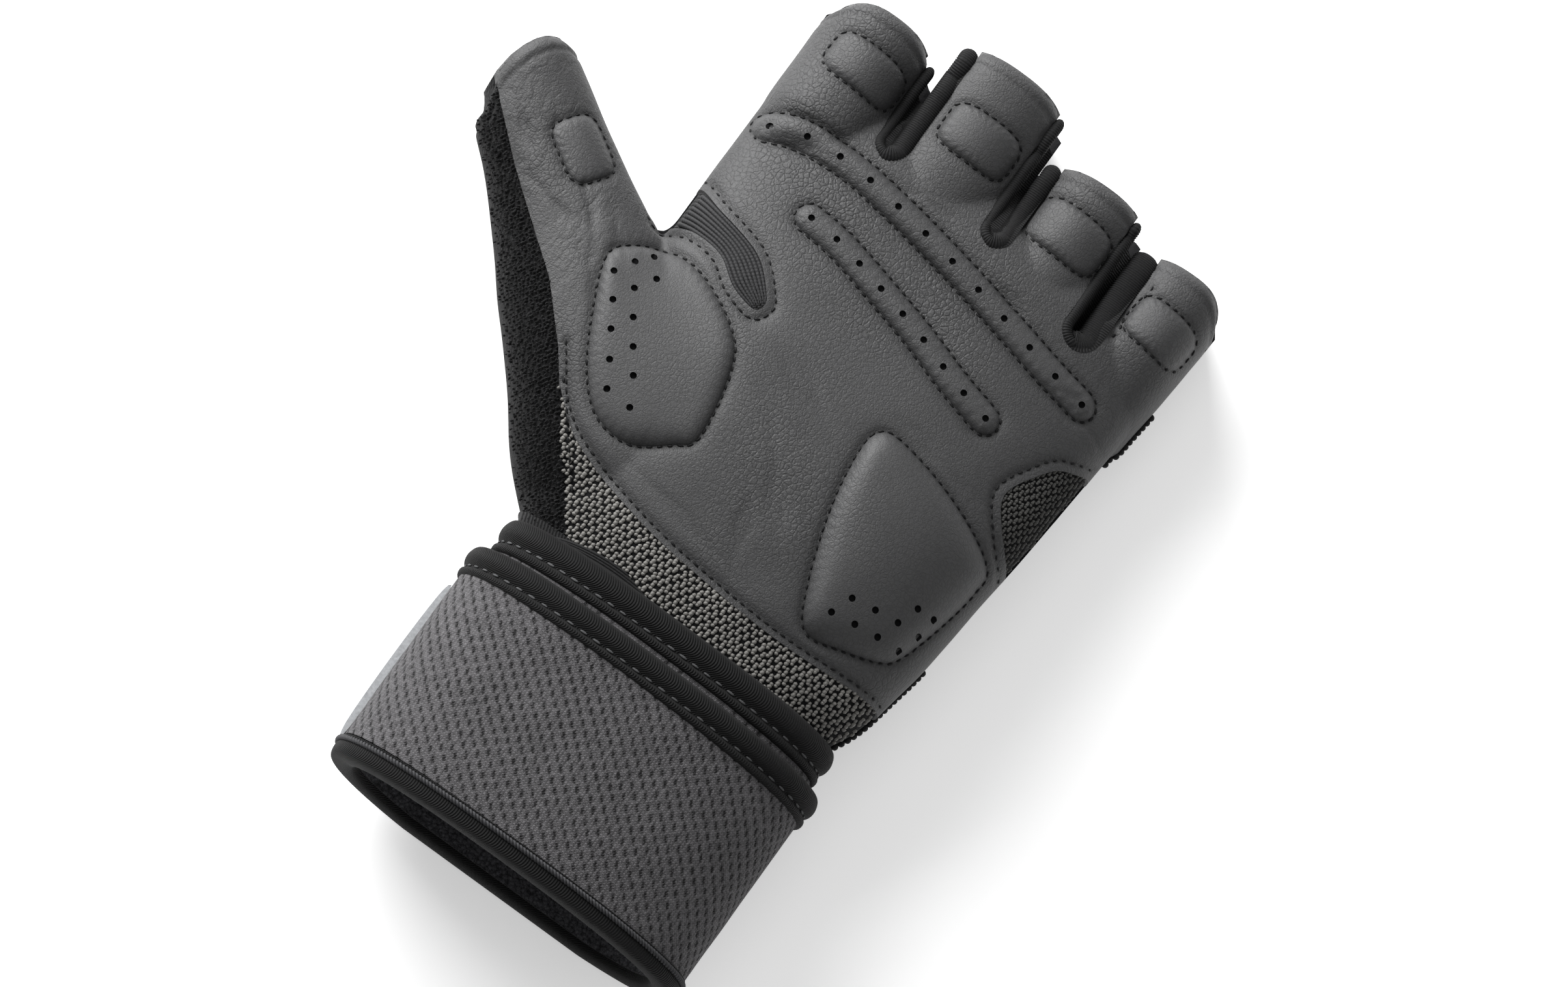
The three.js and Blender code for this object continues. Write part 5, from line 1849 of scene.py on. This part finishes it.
    def back_edge(self, look):
        """Small loops where the back's mesh shows past the palm's edge on the little finger's side."""
        tree = WORK["surface"].tree
        slant = (SEAM_HEIGHT_TIP - SEAM_HEIGHT_WRIST) / (PALM_LENGTH + STALL_LENGTH)
        edges = []
        for low, high in ((64, 90), (149, 164)):
            points = []
            for y in np.arange(low, high, 1.4):
                z = SEAM_HEIGHT_WRIST + slant * (y - CUFF_LENGTH) - 0.5
                start = Vector((0.15, y * MM + ORIGIN[1], z * MM))
                place, _, _, _ = tree.ray_cast(start, Vector((-1, 0, 0)))
                if place is not None:
                    points.append(((place.x - ORIGIN[0]) / MM + 0.15, y, z))
            points = np.array(points)
            up = np.tile((1.0, 0, 0), (len(points), 1))
            edges.append(beads(
                "loops", points, np.gradient(points, axis=0), up, (0.85, 1.1, 0.85), bead(8, 6),
            ))
        dress(joined("back_mesh_edge", edges), None, look, slot="back_mesh")


class GLOVE_OT_tufts(bpy.types.Operator):
    """Lays the looped tufts of the terry on the thumb"""

    bl_idname = "glove.tufts"
    bl_label = "Terry"

    def execute(self, context):
        rng = np.random.default_rng(53)
        region = on_hand([*TERRY_EDGE, (-2.3, 0.742), (-2.3, -0.1)])
        turn = math.radians(-32)
        c, s = math.cos(turn), math.sin(turn)
        u, v = np.meshgrid(np.arange(-175, 40, 0.85), np.arange(0, 190, 0.66), indexing="ij")
        u = u + rng.normal(0, 0.13, u.shape)
        v = v + rng.normal(0, 0.16, v.shape)
        plan = np.column_stack([(u * c - v * s).ravel(), (u * s + v * c).ravel()])
        plan = plan[inside(region, plan) & (plan[:, 1] > 63) & (to_open_end(plan) > 2.2)]
        points, up = [], []
        for x, y in plan:
            z, normal = WORK["surface"].at(x, y)
            if z is not None and normal.z > 0.12:
                points.append(np.array((x, y, z)) - 0.2 * np.array(normal))
                up.append(tuple(normal))
        points, up = np.array(points), np.array(up)
        way = np.tile((-s, c, 0), (len(points), 1)) + rng.normal(0, 0.35, (len(points), 3))
        half = np.array([0.44, 0.24, 0.3]) * rng.uniform(0.6, 1.3, (len(points), 3))
        tufts = beads("thumb_terry_tufts", points, way, up, half, bead(5, 3))
        dress(tufts, None, finishes()["terry"], slot="terry")
        return {"FINISHED"}


def cuff_ring(out, sides):
    """A section round the wrist at a height outside the hand, evenly spaced, with the run along it."""
    angles = np.linspace(0, 2 * math.pi, 2001)
    x, z = section(
        -WRIST_HALF_WIDTH - out, WRIST_HALF_WIDTH + out,
        WRIST_LOW + WRIST_HEIGHT + out, WRIST_LOW - out, WRIST_POWER, angles,
    )
    run = np.concatenate([[0], np.cumsum(np.hypot(np.diff(x), np.diff(z)))])
    at = np.linspace(0, run[-1], sides, endpoint=False)
    return np.interp(at, run, x), np.interp(at, run, z), at


def cuff_hoop(name, profile, sides, tilt=0.0):
    """A hoop round the wrist through a closed profile of points (out, y)."""
    rings, lays = [], []
    along_profile = run_along(profile)
    for (out, y), run_y in zip(profile, along_profile):
        x, z, run = cuff_ring(out, sides)
        rings.append(np.column_stack([x, y - tilt * x, z]))
        lays.append(np.column_stack([run, np.full(sides, run_y), np.zeros(sides)]))
    points = np.array(rings).reshape(-1, 3)
    piece = mesh_piece(name, points, ring_faces(len(rings), sides, hoop=True)[:, ::-1])
    keep(piece.data, "lay", np.array(lays).reshape(-1, 3) * MM)
    return piece


def rounded_profile(corners, step=0.3):
    """A smooth closed profile through corners."""
    return smooth_line(np.array(corners, float), step, True)


def tape_profile(inside_out, thickness, low, width):
    """Folded knit tape: a full roll on top, a row of stitches in a groove and a flat welt."""
    out = inside_out + thickness
    return rounded_profile([
        (inside_out, low), (out - 0.2, low - 0.1), (out + 0.7, low + 0.35), (out + 0.8, low + width * 0.17),
        (out + 0.1, low + width * 0.26), (out + 0.25, low + width * 0.33), (out + 1.15, low + width * 0.5),
        (out + 1.25, low + width * 0.72), (out + 0.4, low + width * 0.95), (inside_out + 0.6, low + width),
        (inside_out, low + width * 0.9),
    ])


class GLOVE_OT_cuff(bpy.types.Operator):
    """Builds the two turns of the wrist wrap, their bindings, the rim and the closure tab"""

    bl_idname = "glove.cuff"
    bl_label = "Wrist wrap"

    def execute(self, context):
        looks = finishes()
        inner_in, inner_out = INNER_WRAP
        outer_in, outer_out = OUTER_WRAP
        self.wrap("wrap_inner", inner_in, inner_out, 2.7, INNER_BINDING_SPAN[0] + 0.8, 0, 240, 1.0)
        self.wrap(
            "wrap_outer", outer_in, outer_out, RIM_BINDING_WIDTH - 0.6, OUTER_BINDING_SPAN[0] + 0.8,
            0.012, 640, 0.4,
        )
        self.binding("wrap_inner_binding", inner_in, inner_out - inner_in, INNER_BINDING_SPAN, 0.006)
        self.binding("wrap_outer_binding", outer_in, outer_out - outer_in, OUTER_BINDING_SPAN, 0.014)
        rim = cuff_hoop("cuff_binding", rounded_profile([
            (-0.9, 4.0), (-0.8, 1.4), (0.6, 0.5), (3.0, 0.4), (4.6, 0.8), (5.2, 1.8), (5.3, 3.4), (5.0, 3.9),
            (5.0, 4.6), (5.3, 5.2), (2.8, 5.2), (2.0, 3.0),
        ]), 480)
        smooth_shaded(rim, 80)
        dress(rim, "cuff_binding", looks["binding"], slot="binding_tape")
        self.tab()
        self.pale_stitches()
        return {"FINISHED"}

    def wrap(self, name, inside_out, outside_out, low, high, tilt, sides, step):
        steps = np.arange(low, high, step)
        edge = 0.25
        profile = [(inside_out, low)]
        profile += [(outside_out, y) for y in steps[1:-1]]
        profile += [(outside_out - edge, high), (inside_out, high)]
        profile += [(inside_out, y) for y in np.arange(high - 4, low + 2, -4)]
        profile = np.array(profile)
        piece = cuff_hoop(name, profile, sides, tilt)
        points, lay = places(piece.data), np.empty(len(piece.data.vertices) * 3, np.float32)
        piece.data.attributes["lay"].data.foreach_get("vector", lay)
        lay = lay.reshape(-1, 3) / MM
        outside = np.repeat(profile[:, 0] > outside_out - 0.1, sides)
        column, row = 1.75, 3.0
        u, v = lay[:, 0] / column, points[:, 1] / row
        which = np.floor(u)
        du = (u - which - 0.5) * column
        v = v + 0.5 * (which % 2)
        dv = (v - np.floor(v) - 0.5) * row
        slanted = du - 0.6 * dv
        pit = np.exp(-((slanted / 0.26) ** 2) - (dv / 0.78) ** 4) * outside
        up = normals(piece.data)
        bulge = 0.35 * soft_noise(points, 42, 17) + 0.12 * soft_noise(points, 13, 19)
        move_to(piece.data, points + up * ((bulge * 0.6 - 0.3 * pit) * outside)[:, None])
        keep(piece.data, "pit", pit)
        smooth_shaded(piece, 70)
        dress(piece, name, finishes()["wrap"], slot="wrap_knit")

    def binding(self, name, inside_out, thickness, span, tilt):
        piece = cuff_hoop(name, tape_profile(inside_out, thickness, span[0], span[1] - span[0]), 480, tilt)
        points = places(piece.data)
        up = normals(piece.data)
        move_to(piece.data, points + up * (0.18 * soft_noise(points, 24, 21))[:, None])
        smooth_shaded(piece, 80)
        dress(piece, name, finishes()["binding"], slot="binding_tape")

    def tab(self):
        inside_out, outside_out = TAB
        low, high = TAB_SPAN
        profile = rounded_profile([
            (inside_out, low), (outside_out - 0.4, low + 1.5), (outside_out, (low + high) / 2),
            (outside_out - 0.4, high - 1.5), (inside_out, high), (inside_out, (low + high) / 2),
        ], 1.0)
        angles = np.linspace(TAB_ARC[0], TAB_ARC[1], 90) * 2 * math.pi
        rings = []
        for angle in angles:
            ring = []
            for out, y in profile:
                x, z = section(
                    -WRIST_HALF_WIDTH - out, WRIST_HALF_WIDTH + out,
                    WRIST_LOW + WRIST_HEIGHT + out, WRIST_LOW - out, WRIST_POWER, np.array([angle]),
                )
                ring.append((x[0], y, z[0]))
            rings.append(ring)
        piece = loft("closure_tab", np.array(rings))
        smooth_shaded(piece, 60)
        dress(piece, "closure_tab", finishes()["tab"], slot="tab")

    def pale_stitches(self):
        """The light dashes along each binding and the welt of the rim."""
        rng = np.random.default_rng(41)
        rows_of = (
            (INNER_WRAP[1] + 0.3, INNER_BINDING_SPAN[0] + 0.285 * 8.1, 0.006),
            (OUTER_WRAP[1] + 0.3, OUTER_BINDING_SPAN[0] + 0.285 * 7.1, 0.014),
        )
        count = 66
        pieces = []
        for out, y, tilt in rows_of:
            x, z, _ = cuff_ring(out, count)
            points = np.column_stack([x, y - tilt * x, z])
            way = np.roll(points, -1, axis=0) - np.roll(points, 1, axis=0)
            middle = np.array([0, 0, WRIST_LOW + WRIST_HEIGHT / 2])
            up = points * (1, 0, 1) - middle
            half = np.array([0.95, 0.27, 0.2]) * rng.uniform(0.85, 1.1, (count, 1))
            pieces.append(beads("dash", points, way, up, half))
        x, z, _ = cuff_ring(5.35, 1400)
        centre = np.column_stack([x, np.full(len(x), 4.25), z])
        _, normal = line_normals(np.column_stack([x, z]), closed=True)
        outwards = -np.column_stack([normal[:, 0], np.zeros(len(x)), normal[:, 1]])
        turn = 2 * math.pi * 130 * np.arange(len(x)) / len(x)
        strands = []
        for start in (0, math.pi):
            swing = (
                np.cos(turn + start)[:, None] * outwards
                + np.sin(turn + start)[:, None] * np.array([0, 1, 0])
            )
            strands.append(tube("strand", centre + 0.3 * swing, 0.34, 0.34, 6, closed=True))
        piping = joined("rim_piping", strands)
        dress(piping, None, finishes()["piping"], slot="binding_tape")
        dashes = joined("pale_stitches", pieces)
        dress(dashes, None, finishes()["pale_thread"], slot="binding_tape")


# Each sheet of cloth or leather: its flat width, length and area in metres, how it is held, what it rests
# on and what is sewn to it. "_soft" is added to the names of panels.
SHEET_COLUMNS = ("name", "width", "length", "area", "held", "rests_on", "with_pieces")
SHEETS = (
    ("palm_leather", 0.16, 0.15, 0.0165, "stretched", ("back_mesh",), ()),
    ("back_mesh", 0.135, 0.16, 0.0152, "stretched", ("inner_cuff",), ("back_mesh_edge",)),
    ("thumb_terry", 0.085, 0.12, 0.0053, "stretched", ("palm_leather",), ("thumb_terry_tufts",)),
    ("wrist_mesh", 0.1, 0.034, 0.00145, "stretched", ("palm_leather",), ("wrist_mesh_knots",)),
    ("vent_mesh", 0.03, 0.03, 0.00058, "stretched", ("palm_leather",), ("vent_mesh_knots",)),
    ("thumb_elastic", 0.034, 0.021, 0.00046, "stretched", ("palm_leather",), ("thumb_elastic_ribs",)),
    ("inner_cuff", 0.19, 0.06, 0.0111, "stretched", ("palm_leather", "back_mesh"), ()),
    ("wrap_inner", 0.205, 0.053, 0.0107, "stretched", ("inner_cuff",), ("wrap_inner_binding_soft",)),
    ("wrap_outer", 0.215, 0.043, 0.0091, "stretched", ("wrap_inner",), ("wrap_outer_binding_soft",)),
    ("closure_tab", 0.081, 0.037, 0.00296, "stretched", ("wrap_outer",), ()),
)


class GLOVE_OT_sheets(bpy.types.Operator):
    """Looks up the piece of each sheet in the table by its name; nothing is set on the pieces"""

    bl_idname = "glove.sheets"
    bl_label = "Cut sizes"

    def execute(self, context):
        for sheet in rows(SHEET_COLUMNS, SHEETS):
            bpy.data.objects[sheet["name"] + "_soft"]
        return {"FINISHED"}


class GLOVE_OT_stage(bpy.types.Operator):
    """Sets the floor, the soft studio light and the camera"""

    bl_idname = "glove.stage"
    bl_label = "Stage"

    VIEW_WIDTH = 0.3276
    ELEVATION = 78
    ROLL = 36
    LENS = 300
    TARGET = (0.85, 102.4, 20)

    def execute(self, context):
        scene = context.scene
        scene.view_settings.view_transform = "Standard"
        self.floor(scene)
        self.lights(scene)
        self.camera(scene)
        return {"FINISHED"}

    def floor(self, scene):
        half = 3.0
        points = np.array([(-half, -half, 0), (half, -half, 0), (half, half, 0), (-half, half, 0)])
        floor = mesh_piece("floor", points - (0, 0, 0.00005), np.array([(0, 1, 2, 3)]), in_glove=False)
        tint = tuple(scene.glove_colours.floor)
        finish = Finish("floor", roughness=0.9)
        finish.shader.inputs["Emission Color"].default_value = (1, 1, 1, 1)
        finish.shader.inputs["Emission Strength"].default_value = 0.4
        broad = finish.noise(finish.place(), 3.0, 2.0)
        floor.data.materials.append(finish.made(
            Base_Color=finish.between(scaled(tint, 0.99), scaled(tint, 1.0), broad),
        ))

    def lights(self, scene):
        world = bpy.data.worlds.new("studio")
        world.use_nodes = True
        world.node_tree.nodes["Background"].inputs["Color"].default_value = (1, 1, 1, 1)
        world.node_tree.nodes["Background"].inputs["Strength"].default_value = 0.3
        scene.world = world
        for name, place, size, power in (
            ("key", (-0.95, 0.56, 0.54), 1.0, 33),
            ("top", (0.1, 0.3, 1.5), 1.3, 3),
        ):
            light = bpy.data.lights.new(name, "AREA")
            light.size = size
            light.energy = power
            lamp = bpy.data.objects.new(name, light)
            lamp.location = place
            lamp.rotation_mode = "QUATERNION"
            lamp.rotation_quaternion = (-Vector(place)).to_track_quat("-Z", "Y")
            scene.collection.objects.link(lamp)

    def camera(self, scene):
        data = bpy.data.cameras.new("camera")
        data.lens = self.LENS
        data.sensor_width = 36
        tilt, roll = math.radians(self.ELEVATION), math.radians(self.ROLL)
        back = Vector((0, -math.cos(tilt), math.sin(tilt)))
        ahead = Vector((0, math.sin(tilt), math.cos(tilt)))
        right = math.cos(roll) * Vector((1, 0, 0)) + math.sin(roll) * ahead
        up = -math.sin(roll) * Vector((1, 0, 0)) + math.cos(roll) * ahead
        distance = self.VIEW_WIDTH * self.LENS / data.sensor_width
        camera = bpy.data.objects.new("camera", data)
        target = Vector(np.array(self.TARGET) * MM + ORIGIN)
        turn = Matrix((right, up, back)).transposed()
        camera.matrix_world = Matrix.Translation(target + back * distance) @ turn.to_4x4()
        data.clip_start, data.clip_end = 0.05, 20
        scene.collection.objects.link(camera)
        scene.camera = camera


class GLOVE_PT_panel(bpy.types.Panel):
    """Lists the steps that build the glove"""

    bl_idname = "GLOVE_PT_panel"
    bl_label = "Glove"
    bl_space_type = "VIEW_3D"
    bl_region_type = "UI"
    bl_category = "Glove"

    def draw(self, context):
        column = self.layout.column()
        for step in STEPS:
            column.operator(step.bl_idname)
        for name in GloveSizes.__annotations__:
            column.prop(context.scene.glove_sizes, name)
        for name in GloveColours.__annotations__:
            column.prop(context.scene.glove_colours, name)


STEPS = (
    GLOVE_OT_hand, GLOVE_OT_knots, GLOVE_OT_tufts, GLOVE_OT_pads, GLOVE_OT_stitches,
    GLOVE_OT_rolls, GLOVE_OT_cuff,
    GLOVE_OT_sheets, GLOVE_OT_stage,
)
CLASSES = (GloveSizes, GloveColours, *STEPS, GLOVE_PT_panel)


def register():
    for one in CLASSES:
        bpy.utils.register_class(one)
    bpy.types.Scene.glove_sizes = bpy.props.PointerProperty(type=GloveSizes)
    bpy.types.Scene.glove_colours = bpy.props.PointerProperty(type=GloveColours)


def unregister():
    del bpy.types.Scene.glove_colours
    del bpy.types.Scene.glove_sizes
    for one in reversed(CLASSES):
        bpy.utils.unregister_class(one)


def main():
    register()
    bpy.ops.glove.hand()
    bpy.ops.glove.knots()
    bpy.ops.glove.tufts()
    bpy.ops.glove.pads()
    bpy.ops.glove.stitches()
    bpy.ops.glove.rolls()
    bpy.ops.glove.cuff()
    bpy.ops.glove.sheets()
    bpy.ops.glove.stage()


if __name__ == "__main__":
    main()
